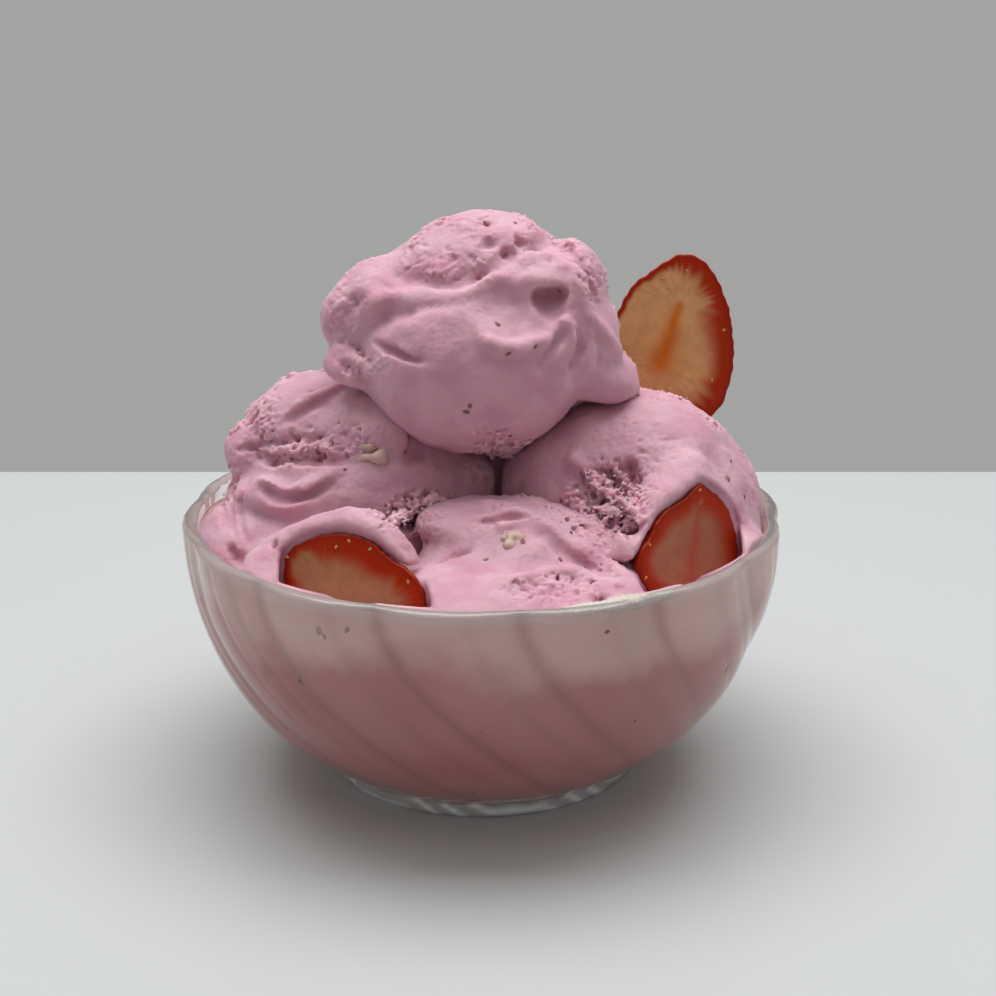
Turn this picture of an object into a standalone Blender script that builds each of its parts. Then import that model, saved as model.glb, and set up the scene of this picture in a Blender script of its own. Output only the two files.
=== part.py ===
"""A strawberry sundae: five scoops of ice cream heaped on melted ice cream in a footed glass bowl.

The bowl is a turned shell with twisted flutes pressed into its outside and a scalloped rim.
Each scoop is built from rounded lumps, fused, creased and roughened, then cut back where it meets
the pieces it lies against. Three slices of strawberry are pushed in beside the scoops, and the ice
cream is cleared away in front of the two that show their cut face at the rim.
Units are metres, +Z is up, and the origin is the centre of the foot, on the table.
"""
import math

import bmesh
import bpy
from mathutils import Euler, Matrix, Vector, noise

MM = 0.001
CLEARANCE = 0.3 * MM
GROWTH = 1.15 * CLEARANCE
SEAT_GAP = 0.36 * MM

# Glass bowl
RIM_RADIUS = 60.0 * MM
BOWL_HEIGHT = 53.3 * MM
BODY_RADIUS = 59.4 * MM
BODY_CENTRE_Z = 50.6 * MM
WALL = 2.7 * MM
TUCK = 4.5 * MM
TUCK_TOP = 16.0 * MM
TUCK_POWER = 1.3
RIM_ROUND = 1.1 * MM
FOOT_RADIUS = 32.0 * MM
FOOT_INNER_RADIUS = 26.5 * MM
FOOT_HEIGHT = 3.6 * MM
FOOT_RECESS = 1.6 * MM
FLOOR_Z = 5.6 * MM
FLOOR_CORNER = 7.0 * MM
CORNER_RISE = 2.9 * MM
LOBES = 14
LOBE_STEPS = 5
LOBE_DEPTH = 1.3 * MM
LOBE_RUN_OUT = 24.0 * MM
LOBE_PHASE = math.radians(-6.0)
LOBE_TWIST = math.radians(55.0)
INNER_LOBE_DEPTH = 0.45 * MM
INNER_LOBE_START = 45.0 * MM
OUTER_ROWS = 8
INNER_ROWS = 6

# Melted ice cream
MELT_LEVEL = 47.6 * MM
MELT_WAVE = 0.9 * MM
MELT_HEAP = 1.2 * MM
MELT_STEPS = 35

# Scoops
REMESH_SIZE = 2.0 * MM
RELIEF_SIZE = 9.0 * MM
RELIEF_DEPTH = 0.55 * MM
SCOOP_TRIANGLES = 1360
SCOOP_BOTTOM = 44.0 * MM
ROOM_HEIGHT = 140.0 * MM

# Each lump of a scoop: centre, radii, and tilt in degrees about Y then about Z, in millimetres.
TOP_LUMPS = {
    "body": ((-0.6, 3.5, 89.6), (24.0, 22.0, 20.6), 0, 0),
    "crown": ((0.5, 3.5, 100.2), (15.2, 15.6, 13.5), 0, 0),
    "left_shoulder": ((-20.0, 0.0, 95.5), (9.0, 12.0, 8.0), -20, 0),
    "left_lobe": ((-25.2, -2.0, 92.6), (6.0, 8.5, 7.0), 0, 0),
    "left_flap": ((-24.0, -6.0, 84.0), (6.6, 8.0, 4.0), 18, 0),
    "right_lobe": ((16.8, 1.0, 98.2), (7.4, 11.0, 9.0), 0, 0),
    "right_side": ((18.6, -1.0, 89.5), (8.0, 12.0, 8.5), 10, 0),
    "skirt": ((17.5, -1.0, 80.8), (15.0, 17.0, 6.4), 26, 0),
    "underside_chunk": ((3.4, -5.0, 69.8), (6.0, 6.4, 4.4), 0, 0),
    "back_lump": ((3.0, 15.0, 91.0), (15.0, 11.0, 12.0), 0, 0),
}
LEFT_LUMPS = {
    "body": ((-24.6, 4.0, 50.6), (27.2, 27.0, 27.4), 0, 0),
    "back_dome": ((-33.5, 5.0, 67.5), (15.0, 16.0, 12.2), -12, 0),
    "flap": ((-20.5, -5.5, 70.2), (11.2, 10.5, 9.4), 0, 0),
    "left_bump": ((-46.0, 0.0, 65.0), (5.4, 7.0, 5.6), 0, 0),
    "ledge": ((-36.0, -10.0, 59.8), (12.6, 11.0, 4.6), 0, -25),
    "lower_bulge": ((-31.0, -9.5, 49.0), (18.5, 17.0, 10.5), 0, -20),
    "rim_bulge": ((-44.0, -9.0, 47.0), (12.5, 17.0, 12.0), 0, -12),
    "rim_flap": ((-35.0, -28.0, 46.5), (12.0, 17.0, 9.6), 0, -30),
    "fruit": ((-19.5, -16.2, 67.4), (3.6, 2.6, 2.6), -35, 0),
}
RIGHT_LUMPS = {
    "body": ((30.3, 2.5, 49.2), (25.8, 26.0, 27.0), 0, 0),
    "right_cheek": ((43.5, 0.0, 53.0), (11.0, 15.0, 12.5), 0, 0),
    "left_cheek": ((17.0, -5.0, 56.5), (11.0, 13.0, 12.5), 0, 0),
    "torn_ridge": ((22.5, -20.0, 58.5), (7.5, 5.0, 4.6), 28, -25),
    "rim_bulge": ((45.5, -14.0, 48.5), (12.0, 18.0, 11.0), 0, 18),
}
FRONT_LUMPS = {
    "body": ((7.5, -24.5, 35.6), (25.0, 25.5, 25.4), 0, 0),
    "upper_fold": ((5.0, -22.0, 55.8), (17.5, 12.0, 5.6), 6, 0),
    "right_slope": ((21.0, -24.0, 50.0), (13.0, 14.0, 8.0), 18, 0),
    "low_fold": ((13.0, -40.5, 49.8), (12.0, 7.5, 4.8), 4, 12),
    "rim_lip": ((22.5, -46.8, 50.2), (11.0, 6.0, 3.4), 0, 25),
    "rim_spread": ((-3.0, -40.0, 45.2), (17.0, 18.0, 8.6), 0, 0),
    "fruit": ((7.0, -33.5, 58.2), (3.2, 2.6, 2.4), 0, 0),
}
BACK_LUMPS = {
    "body": ((-1.0, 27.0, 50.6), (25.8, 25.4, 25.4), 0, 0),
    "left_cheek": ((-13.0, 31.0, 57.0), (14.0, 14.0, 11.5), 0, 0),
    "right_fold": ((13.0, 32.0, 54.0), (14.0, 13.5, 10.5), 20, 0),
}

# Lumps whose top is sliced off, which leaves a lip: centre, radii, the plane's upward direction and a
# point on it.
TOP_SHELVES = {
    "front_ball": ((-1.6, -5.0, 85.6), (22.2, 19.6, 18.6), (-0.40, -0.10, 0.91), (-4.0, -18.0, 99.6)),
    "front_lip": ((9.5, -7.5, 94.0), (11.5, 11.0, 12.0), (-0.16, 0.22, 0.96), (13.0, -10.0, 104.6)),
}

# Creases pressed into the scoops: width, depth, then the points they pass through, in millimetres.
TOP_CREASES = (
    (2.6, 1.6, ((-19, -11, 101), (-10, -13, 102), (0, -14, 103), (8, -12, 106), (14, -7, 108))),
    (2.4, 2.2, ((-20.5, -17, 86.5), (-17, -21, 84.5), (-12, -23, 84))),
    (2.6, 2.4, ((12.5, -20, 96), (14.5, -20, 92))),
    (2.6, 1.6, ((3, 20, 108), (12, 22, 99), (18, 20, 88))),
)
LEFT_CREASES = (
    (2.6, 2.8, ((-44, -9, 64), (-38, -15, 64.2), (-30, -19, 65), (-23, -20, 63.6))),
    (2.4, 1.2, ((-46, -10, 58), (-38, -19, 55), (-28, -21, 57))),
    (2.2, 1.4, ((-49, -6, 60), (-48, -10, 50), (-46, -14, 44))),
)
RIGHT_CREASES = (
    (3.0, 2.6, ((29, -17.5, 62), (31, -20, 57), (30, -22, 53))),
    (3.4, 1.6, ((20, -18, 57), (26, -20, 52))),
)
FRONT_CREASES = (
    (2.6, 1.4, ((-4, -30, 58.5), (4, -31, 59.5), (12, -28, 59))),
    (3.0, 1.6, ((14, -31, 57.5), (21, -34, 53), (28, -32, 49))),
)
BACK_CREASES = (
    (3.0, 2.0, ((-18, 46, 62), (-2, 50, 58), (14, 50, 52))),
    (2.6, 1.6, ((6, 40, 70), (14, 46, 60))),
)

# Strawberry slices: half width, height, thickness, centre, and turn in degrees about Y, X and Z.
SLICE_STEPS = 34
SLICE_EDGE = 0.8
CLEARED_DEPTH = 12.0
CLEARED_SLICES = ("strawberry_slice_left", "strawberry_slice_right")
SLICES = {
    "strawberry_slice_back": (13.6, 40.0, 4.4, (40.0, 20.5, 82.0), 10, -6, 0),
    "strawberry_slice_left": (14.6, 27.0, 4.6, (-23.2, -38.2, 48.6), 16, -16, -27),
    "strawberry_slice_right": (12.6, 29.0, 4.4, (39.6, -25.6, 49.8), 12, -12, 42),
}

COLOURS = {
    "glass": ((0.86, 0.90, 0.89), 0.04),
    "ice_cream": ((0.80, 0.48, 0.56), 0.45),
    "melt": ((0.74, 0.42, 0.46), 0.35),
    "strawberry": ((0.62, 0.10, 0.03), 0.3),
}


def clear_scene():
    """Removes every object of the scene."""
    for obj in list(bpy.data.objects):
        bpy.data.objects.remove(obj, do_unlink=True)


def material(name):
    """A Principled material in the colour and roughness given for this name."""
    if name in bpy.data.materials:
        return bpy.data.materials[name]
    colour, roughness = COLOURS[name]
    made = bpy.data.materials.new(name)
    made.use_nodes = True
    shader = made.node_tree.nodes["Principled BSDF"]
    shader.inputs["Base Color"].default_value = (*colour, 1.0)
    shader.inputs["Roughness"].default_value = roughness
    shader.inputs["Metallic"].default_value = 0.0
    if name == "glass":
        shader.inputs["Transmission Weight"].default_value = 1.0
    return made


def add_object(name, mesh, collection):
    """A new object of this mesh in the collection."""
    obj = bpy.data.objects.new(name, mesh)
    collection.objects.link(obj)
    return obj


def evaluated_mesh(obj):
    """A new mesh of the object with its modifiers applied."""
    bpy.context.view_layer.update()
    graph = bpy.context.evaluated_depsgraph_get()
    return bpy.data.meshes.new_from_object(obj.evaluated_get(graph))


def apply_modifiers(obj):
    """Replaces the object's mesh by the evaluated one and clears its modifiers."""
    mesh = evaluated_mesh(obj)
    obj.modifiers.clear()
    obj.data = mesh


def face_outwards(mesh):
    """Turns the faces of a closed mesh outwards."""
    shape = bmesh.new()
    shape.from_mesh(mesh)
    bmesh.ops.recalc_face_normals(shape, faces=shape.faces)
    shape.to_mesh(mesh)
    shape.free()


def body_radius(z, radius):
    """Radius at height z of the ball that the bowl's body follows, tucked in towards the foot."""
    tuck = TUCK * min(max((TUCK_TOP - z) / TUCK_TOP, 0.0), 1.0) ** TUCK_POWER
    return math.sqrt(max(radius**2 - (z - BODY_CENTRE_Z) ** 2, 0.0)) - tuck


def inner_profile(offset=0.0, top=BOWL_HEIGHT - RIM_ROUND):
    """Inside of the bowl from the centre of its floor up to the rim, moved inwards by offset."""
    radius = BODY_RADIUS - WALL - offset
    floor = FLOOR_Z + offset
    corner_z = floor + CORNER_RISE
    corner_r = body_radius(corner_z, radius)
    points = [(0.0, floor), (corner_r - FLOOR_CORNER, floor)]
    for step in (0.35, 0.7):
        inset = 0.9 * FLOOR_CORNER * (1.0 - step) ** 2
        points.append((corner_r - inset, floor + CORNER_RISE * step**1.6))
    for row in range(INNER_ROWS):
        z = corner_z + (top - corner_z) * row / (INNER_ROWS - 1)
        points.append((body_radius(z, radius), z))
    return points


def outer_profile():
    """Outside of the bowl from the rim down to the centre of the recess under the foot."""
    top = BOWL_HEIGHT - RIM_ROUND
    waist_z = FOOT_HEIGHT + 1.2 * MM
    points = []
    for row in range(OUTER_ROWS):
        z = top - (top - waist_z) * row / (OUTER_ROWS - 1)
        flare = (RIM_RADIUS - BODY_RADIUS) * (z / top) ** 4
        points.append((body_radius(z, BODY_RADIUS) + flare, z))
    points.append((FOOT_RADIUS + 0.5 * MM, FOOT_HEIGHT))
    points.append((FOOT_RADIUS, 1.0 * MM))
    points.append((FOOT_RADIUS - 0.8 * MM, 0.0))
    points.append((FOOT_INNER_RADIUS + 0.8 * MM, 0.0))
    points.append((FOOT_INNER_RADIUS - 0.8 * MM, FOOT_RECESS))
    points.append((0.0, FOOT_RECESS))
    return points


def turned(name, profile, steps, collection):
    """Turns a profile of (radius, height) points about Z into a mesh object."""
    mesh = bpy.data.meshes.new(name)
    edges = [(i, i + 1) for i in range(len(profile) - 1)]
    mesh.from_pydata([(radius, 0.0, z) for radius, z in profile], edges, [])
    obj = add_object(name, mesh, collection)
    screw = obj.modifiers.new("turn", "SCREW")
    screw.axis = "Z"
    screw.steps = steps
    screw.render_steps = steps
    screw.use_merge_vertices = True
    screw.merge_threshold = 0.01 * MM
    apply_modifiers(obj)
    face_outwards(obj.data)
    return obj


def lobe_height(angle, z):
    """How far the flutes stand out at this angle and height: 0 in a notch, 1 on a crest."""
    turn = angle - LOBE_PHASE - LOBE_TWIST * (1.0 - z / BOWL_HEIGHT)
    return abs(math.sin(0.5 * LOBES * turn))


def flute_depth(point):
    """How far a point of the turned bowl moves out from the axis to shape the flutes and the rim."""
    height = lobe_height(math.atan2(point.y, point.x), point.z)
    middle = body_radius(min(point.z, BOWL_HEIGHT - RIM_ROUND), BODY_RADIUS - 0.5 * WALL)
    if math.hypot(point.x, point.y) > middle:
        share = min(max((point.z - FOOT_HEIGHT) / LOBE_RUN_OUT, 0.0), 1.0)
        return LOBE_DEPTH * share * (height - 1.0)
    share = max((point.z - INNER_LOBE_START) / (BOWL_HEIGHT - INNER_LOBE_START), 0.0)
    return INNER_LOBE_DEPTH * share * height


def glass_bowl(collection):
    """The bowl: a turned shell whose outside is pressed into twisted flutes that scallop the rim."""
    inside = inner_profile()
    outside = outer_profile()
    inner, outer = inside[-1][0], outside[0][0]
    shoulder = BOWL_HEIGHT - 0.3 * RIM_ROUND
    rim = [
        (inner + 0.3 * RIM_ROUND, shoulder),
        ((inner + outer) / 2, BOWL_HEIGHT),
        (outer - 0.3 * RIM_ROUND, shoulder),
    ]
    bowl = turned("glass_bowl", inside + rim + outside, LOBES * LOBE_STEPS, collection)
    for vertex in bowl.data.vertices:
        point = vertex.co
        radius = math.hypot(point.x, point.y)
        if radius > FOOT_RADIUS:
            scale = (radius + flute_depth(point)) / radius
            point.x *= scale
            point.y *= scale
    bowl.data.shade_smooth()
    bowl.data.materials.append(material("glass"))
    return bowl


def contents_room(collection):
    """The space that a scoop may fill: the upper inside of the bowl and the air above it."""
    sides = [point for point in inner_profile(SEAT_GAP) if point[1] > SCOOP_BOTTOM]
    wall_radius = sides[-1][0]
    bottom_radius = body_radius(SCOOP_BOTTOM, BODY_RADIUS - WALL - SEAT_GAP)
    bottom = [(0.0, SCOOP_BOTTOM), (bottom_radius, SCOOP_BOTTOM)]
    top = [(wall_radius, ROOM_HEIGHT), (0.0, ROOM_HEIGHT)]
    return turned("contents_room", bottom + sides + top, MELT_STEPS, collection)


def melted_ice_cream(collection):
    """The melted ice cream that fills the bowl, wavy at the glass and heaped under the scoops."""
    sides = inner_profile(SEAT_GAP, top=MELT_LEVEL)
    rings = [(sides[-1][0] * share, MELT_LEVEL) for share in (0.8, 0.55, 0.3)]
    melt = turned("melted_ice_cream", sides + rings + [(0.0, MELT_LEVEL)], MELT_STEPS, collection)
    for vertex in melt.data.vertices:
        point = vertex.co
        if point.z > MELT_LEVEL - 0.1 * MM:
            angle = math.atan2(point.y, point.x)
            reach = math.hypot(point.x, point.y) / BODY_RADIUS
            wave = math.sin(3 * angle + 1.2) - 0.4 * math.sin(angle)
            point.z += MELT_WAVE * reach * wave + MELT_HEAP * math.sqrt(1.0 - reach)
    melt.data.materials.append(material("melt"))
    return melt


def path_points(points, spacing=0.8):
    """Points along a smooth curve through the given ones, in millimetres."""
    knots = [Vector(p) for p in points]
    knots = [2 * knots[0] - knots[1]] + knots + [2 * knots[-1] - knots[-2]]
    made = []
    for before, start, end, after in zip(knots, knots[1:], knots[2:], knots[3:]):
        count = max(int((end - start).length / spacing), 1)
        for step in range(count):
            t = step / count
            linear = (end - before) * t
            square = (2 * before - 5 * start + 4 * end - after) * t**2
            cube = (3 * start - before - 3 * end + after) * t**3
            made.append(0.5 * (2 * start + linear + square + cube))
    return made + [knots[-2]]


def press_creases(mesh, creases):
    """Presses each crease into the mesh, deepest on its line and fading across its width."""
    for width, depth, points in creases:
        line = path_points(points)
        for vertex in mesh.vertices:
            distance = min((vertex.co / MM - point).length for point in line)
            if distance < 2.5 * width:
                vertex.co -= vertex.normal * depth * MM * math.exp(-((distance / width) ** 2) * 1.5)


def roughen(mesh, seed):
    """Uneven relief all over, of the size that a scoop's ridges and crags have."""
    shift = Vector((seed * 11.3, seed * 5.7, seed * 2.1))
    for vertex in mesh.vertices:
        place = vertex.co / RELIEF_SIZE + shift
        height = noise.noise(place) + 0.5 * noise.noise(place * 2.3)
        vertex.co += vertex.normal * RELIEF_DEPTH * height


def sliced_lump(shape, centre, radii, upward, point):
    """Adds an ellipsoid to the shape with what stands above a plane sliced off."""
    place = Matrix.Translation(Vector(centre) * MM) @ Matrix.Diagonal((*(Vector(radii) * MM), 1.0))
    made = bmesh.ops.create_icosphere(shape, subdivisions=3, radius=1.0, matrix=place)
    faces = {face for vertex in made["verts"] for face in vertex.link_faces}
    edges = {edge for vertex in made["verts"] for edge in vertex.link_edges}
    cut = bmesh.ops.bisect_plane(
        shape,
        geom=[*made["verts"], *edges, *faces],
        plane_co=Vector(point) * MM,
        plane_no=Vector(upward),
        clear_outer=True,
    )
    rim = [item for item in cut["geom_cut"] if isinstance(item, bmesh.types.BMEdge)]
    bmesh.ops.holes_fill(shape, edges=rim)


def scoop(name, lumps, creases, seed, collection, shelves=None):
    """One scoop: its lumps fused to one skin, creased, roughened and reduced to a few faces."""
    shape = bmesh.new()
    for centre, radii, upward, point in (shelves or {}).values():
        sliced_lump(shape, centre, radii, upward, point)
    for centre, radii, tilt_y, tilt_z in lumps.values():
        turn = Euler((0, math.radians(tilt_y), math.radians(tilt_z))).to_matrix().to_4x4()
        size = Matrix.Diagonal((*(Vector(radii) * MM), 1.0))
        place = Matrix.Translation(Vector(centre) * MM) @ turn @ size
        bmesh.ops.create_icosphere(shape, subdivisions=3, radius=1.0, matrix=place)
    mesh = bpy.data.meshes.new(name)
    shape.to_mesh(mesh)
    shape.free()
    obj = add_object(name, mesh, collection)
    remesh = obj.modifiers.new("fuse", "REMESH")
    remesh.mode = "VOXEL"
    remesh.voxel_size = REMESH_SIZE
    smooth = obj.modifiers.new("soften", "SMOOTH")
    smooth.factor = 0.5
    smooth.iterations = 2
    apply_modifiers(obj)
    press_creases(obj.data, creases)
    roughen(obj.data, seed)
    reduce = obj.modifiers.new("reduce", "DECIMATE")
    reduce.ratio = min(1.0, SCOOP_TRIANGLES / (2 * len(obj.data.polygons)))
    reduce.use_collapse_triangulate = True
    apply_modifiers(obj)
    obj.data.materials.append(material("ice_cream"))
    return obj


def slice_outline(half_width, height):
    """Outline of a lengthwise strawberry slice, point up, centred on the origin."""
    points = []
    for step in range(SLICE_STEPS):
        angle = 2 * math.pi * step / SLICE_STEPS
        rise = math.cos(angle)
        taper = 1.0 - 0.22 * rise - 0.10 * rise**2
        wobble = 1.0 + 0.025 * math.sin(5 * angle + half_width)
        points.append((half_width * math.sin(angle) * taper * wobble, height / 2 * rise))
    return points


def strawberry_slice(name, collection):
    """A flat slice of strawberry, cut lengthwise, with softened edges."""
    thickness = SLICES[name][2]
    mesh = slice_mesh(name, thickness, 0.0, collection)
    mesh.materials.clear()
    mesh.materials.append(material("strawberry"))
    return add_object(name, mesh, collection)


def cleared_space(name, collection):
    """The space in front of a slice's cut face."""
    thickness = SLICES[name][2]
    mesh = slice_mesh(name, CLEARED_DEPTH, (thickness + CLEARED_DEPTH) / 2 - SLICE_EDGE, collection)
    return add_object(name + "_cleared", mesh, collection)


def slice_mesh(name, thickness, forward, collection):
    """A mesh of the slice's outline in its place, this thick and moved this far along its face."""
    half_width, height, _, centre, turn_y, turn_x, turn_z = SLICES[name]
    curve = bpy.data.curves.new(name, "CURVE")
    curve.dimensions = "2D"
    curve.fill_mode = "BOTH"
    curve.extrude = (thickness / 2 - SLICE_EDGE) * MM
    curve.bevel_depth = SLICE_EDGE * MM
    curve.bevel_resolution = 0
    spline = curve.splines.new("POLY")
    outline = slice_outline(half_width - SLICE_EDGE, height - 2 * SLICE_EDGE)
    spline.points.add(len(outline) - 1)
    for point, (x, y) in zip(spline.points, outline):
        point.co = (x * MM, y * MM, 0.0, 1.0)
    spline.use_cyclic_u = True
    flat = add_object(name + "_outline", curve, collection)
    mesh = evaluated_mesh(flat)
    bpy.data.objects.remove(flat, do_unlink=True)
    shape = bmesh.new()
    shape.from_mesh(mesh)
    bmesh.ops.remove_doubles(shape, verts=shape.verts, dist=0.01 * MM)
    bmesh.ops.recalc_face_normals(shape, faces=shape.faces)
    shape.to_mesh(mesh)
    shape.free()
    upright = Euler((math.radians(90 + turn_x), 0, 0)).to_matrix()
    lean = Euler((0, math.radians(turn_y), 0)).to_matrix()
    turn = Euler((0, 0, math.radians(turn_z))).to_matrix()
    place = Matrix.Translation(Vector(centre) * MM) @ (turn @ lean @ upright).to_4x4()
    mesh.transform(place @ Matrix.Translation(Vector((0.0, 0.0, forward)) * MM))
    return mesh


def grown_copy(obj, collection):
    """A copy of the object, larger all round by the clearance, to cut its neighbours with."""
    cutter = add_object(obj.name + "_cutter", obj.data.copy(), collection)
    push = cutter.modifiers.new("grow", "DISPLACE")
    push.strength = GROWTH
    push.mid_level = 0.0
    apply_modifiers(cutter)
    return cutter


def combine(obj, other, operation, solver="EXACT"):
    """Applies a Boolean of the object with another."""
    boolean = obj.modifiers.new(operation.lower(), "BOOLEAN")
    boolean.operation = operation
    boolean.solver = solver
    boolean.object = other
    apply_modifiers(obj)


def boxes_meet(first, second):
    """Whether the bounding boxes of two objects overlap."""
    corners = [[obj.matrix_world @ Vector(c) for c in obj.bound_box] for obj in (first, second)]
    for axis in range(3):
        spans = [(min(c[axis] for c in box), max(c[axis] for c in box)) for box in corners]
        if spans[0][0] > spans[1][1] or spans[1][0] > spans[0][1]:
            return False
    return True


def keep_largest_body(obj):
    """Drops the loose scraps that a cut leaves, keeping the largest connected body."""
    shape = bmesh.new()
    shape.from_mesh(obj.data)
    unseen = set(shape.verts)
    bodies = []
    while unseen:
        stack = [unseen.pop()]
        body = set(stack)
        while stack:
            for edge in stack.pop().link_edges:
                for vertex in edge.verts:
                    if vertex in unseen:
                        unseen.discard(vertex)
                        body.add(vertex)
                        stack.append(vertex)
        bodies.append(body)
    largest = max(bodies, key=len)
    scraps = [vertex for body in bodies if body is not largest for vertex in body]
    bmesh.ops.delete(shape, geom=scraps, context="VERTS")
    shape.to_mesh(obj.data)
    shape.free()


def fit_together(pieces, helpers):
    """Cuts each piece back from the glass and from the pieces listed before it.

    The scoops end in sharp lips round the slices. The exact solver leaves a few open edges where those
    meet the front scoop and the melted ice cream, so these two are cut with the manifold one.
    """
    room = contents_room(helpers)
    cleared = [cleared_space(name, helpers) for name in CLEARED_SLICES]
    cutters = []
    for piece in pieces:
        solver = "MANIFOLD" if piece.name in ("scoop_front", "melted_ice_cream") else "EXACT"
        if piece.name.startswith("scoop"):
            combine(piece, room, "INTERSECT", solver)
            for space in cleared:
                if boxes_meet(piece, space):
                    combine(piece, space, "DIFFERENCE", solver)
        if not piece.name.startswith("strawberry"):
            for cutter in cutters:
                if boxes_meet(piece, cutter):
                    combine(piece, cutter, "DIFFERENCE", solver)
            keep_largest_body(piece)
        cutters.append(grown_copy(piece, helpers))


def build():
    """Builds the sundae."""
    clear_scene()
    model = bpy.data.collections.new("strawberry_sundae")
    helpers = bpy.data.collections.new("cutters")
    for collection in (model, helpers):
        bpy.context.scene.collection.children.link(collection)
    glass_bowl(model)
    pieces = [strawberry_slice(name, model) for name in SLICES]
    pieces.append(scoop("scoop_top", TOP_LUMPS, TOP_CREASES, 1, model, TOP_SHELVES))
    pieces.append(scoop("scoop_right", RIGHT_LUMPS, RIGHT_CREASES, 2, model))
    pieces.append(scoop("scoop_left", LEFT_LUMPS, LEFT_CREASES, 3, model))
    pieces.append(scoop("scoop_back", BACK_LUMPS, BACK_CREASES, 4, model))
    pieces.append(scoop("scoop_front", FRONT_LUMPS, FRONT_CREASES, 5, model))
    pieces.append(melted_ice_cream(model))
    fit_together(pieces, helpers)
    for helper in helpers.objects:
        helper.hide_render = True
        helper.display_type = "WIRE"
    for piece in pieces:
        piece.data.shade_smooth()


build()
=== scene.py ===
"""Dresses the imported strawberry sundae: sculpted scoops, fluted glass, melted ice cream and fruit.

Lengths are millimetres until a mesh is made. The scoops are sculpted as signed distances on a grid:
rounded lumps are blended, then folds, lips, creases and pits are laid on at places given in pixels
of the photograph's 996-pixel frame, which are cast from the camera onto the surface.
"""
import math

import bpy
import numpy as np
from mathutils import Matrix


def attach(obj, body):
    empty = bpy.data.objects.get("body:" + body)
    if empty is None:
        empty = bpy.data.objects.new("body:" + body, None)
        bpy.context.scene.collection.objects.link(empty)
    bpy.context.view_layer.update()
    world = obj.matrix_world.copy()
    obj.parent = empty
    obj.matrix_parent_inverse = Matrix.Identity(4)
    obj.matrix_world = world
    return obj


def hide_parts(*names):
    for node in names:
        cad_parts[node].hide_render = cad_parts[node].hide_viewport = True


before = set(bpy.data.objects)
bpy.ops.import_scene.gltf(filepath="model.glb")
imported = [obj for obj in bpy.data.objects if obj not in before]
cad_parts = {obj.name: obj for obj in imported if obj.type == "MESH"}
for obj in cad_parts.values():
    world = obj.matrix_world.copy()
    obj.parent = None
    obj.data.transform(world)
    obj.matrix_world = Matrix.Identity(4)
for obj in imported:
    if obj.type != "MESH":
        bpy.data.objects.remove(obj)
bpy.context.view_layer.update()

import openvdb
from mathutils import Vector

MM = 0.001
VOXEL = 0.38

# Camera
CAMERA = (3.1, -382.0, 180.0)
PITCH = math.radians(18.1)
PX_PER_MM = 5.1
FOCAL_PX = 2000.0
FRAME_PX = 996.0
SENSOR = 36.0

# Glass bowl
RIM_RADIUS = 60.0
BOWL_HEIGHT = 53.3
BODY_RADIUS = 59.4
BODY_CENTRE_Z = 50.6
WALL = 2.7
TUCK = 4.5
TUCK_TOP = 16.0
TUCK_POWER = 1.3
RIM_ROUND = 1.1
FOOT_RADIUS = 32.0
FOOT_INNER_RADIUS = 26.5
FOOT_HEIGHT = 3.6
FOOT_RECESS = 1.6
FLOOR_Z = 5.6
FLOOR_CORNER = 7.0
CORNER_RISE = 2.9
LOBES = 14
LOBE_STEPS = 30
# Width of the painted shade lines laid on the melt along the flute notches
NOTCH_SHADE_WIDTH = 0.07
TWIST_POWER = 1.7
LOBE_DEPTH = 1.3
LOBE_BODY_DEPTH = 0.75
INSIDE_BOX = 0.10
LOBE_PHASE = math.radians(-6.0)
LOBE_TWIST = math.radians(55.0)
LOBE_RUN_OUT = 24.0

# Melted ice cream
MELT_LEVEL = 47.6
MELT_REACH = 0.15
COAT_TOP = 52.4
COAT_REACH = 0.12
SCOOP_BOTTOM = 42.0
SCOOP_INSET = 1.2

# Lumps of each scoop: centre, radii, tilt about Y and Z in degrees, and how softly it blends in.
TOP_LUMPS = (
    ((-0.6, 3.5, 89.6), (24.0, 22.0, 20.6), 0, 0, 1),
    ((0.5, 3.5, 100.0), (15.2, 15.6, 12.6), 0, 0, 2.5),
    ((-20.0, 0.0, 95.5), (9.0, 12.0, 8.0), -20, 0, 2.5),
    ((-25.2, -2.0, 92.6), (6.0, 8.5, 7.0), 0, 0, 1.5),
    ((-24.0, -6.0, 84.0), (6.6, 8.0, 4.0), 18, 0, 1.5),
    ((16.8, 1.0, 98.2), (7.4, 11.0, 9.0), 0, 0, 2),
    ((18.6, -1.0, 89.5), (8.0, 12.0, 8.5), 10, 0, 2.5),
    ((18.0, 1.0, 84.4), (14.6, 14.0, 6.4), 30, 0, 3),
    ((15.5, -1.0, 88.0), (10.0, 13.5, 8.0), 55, 0, 4),
    ((3.4, -5.0, 69.8), (5.6, 6.0, 4.2), 0, 0, 2),
    ((3.0, 15.0, 91.0), (15.0, 11.0, 12.0), 0, 0, 4),
)
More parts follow.
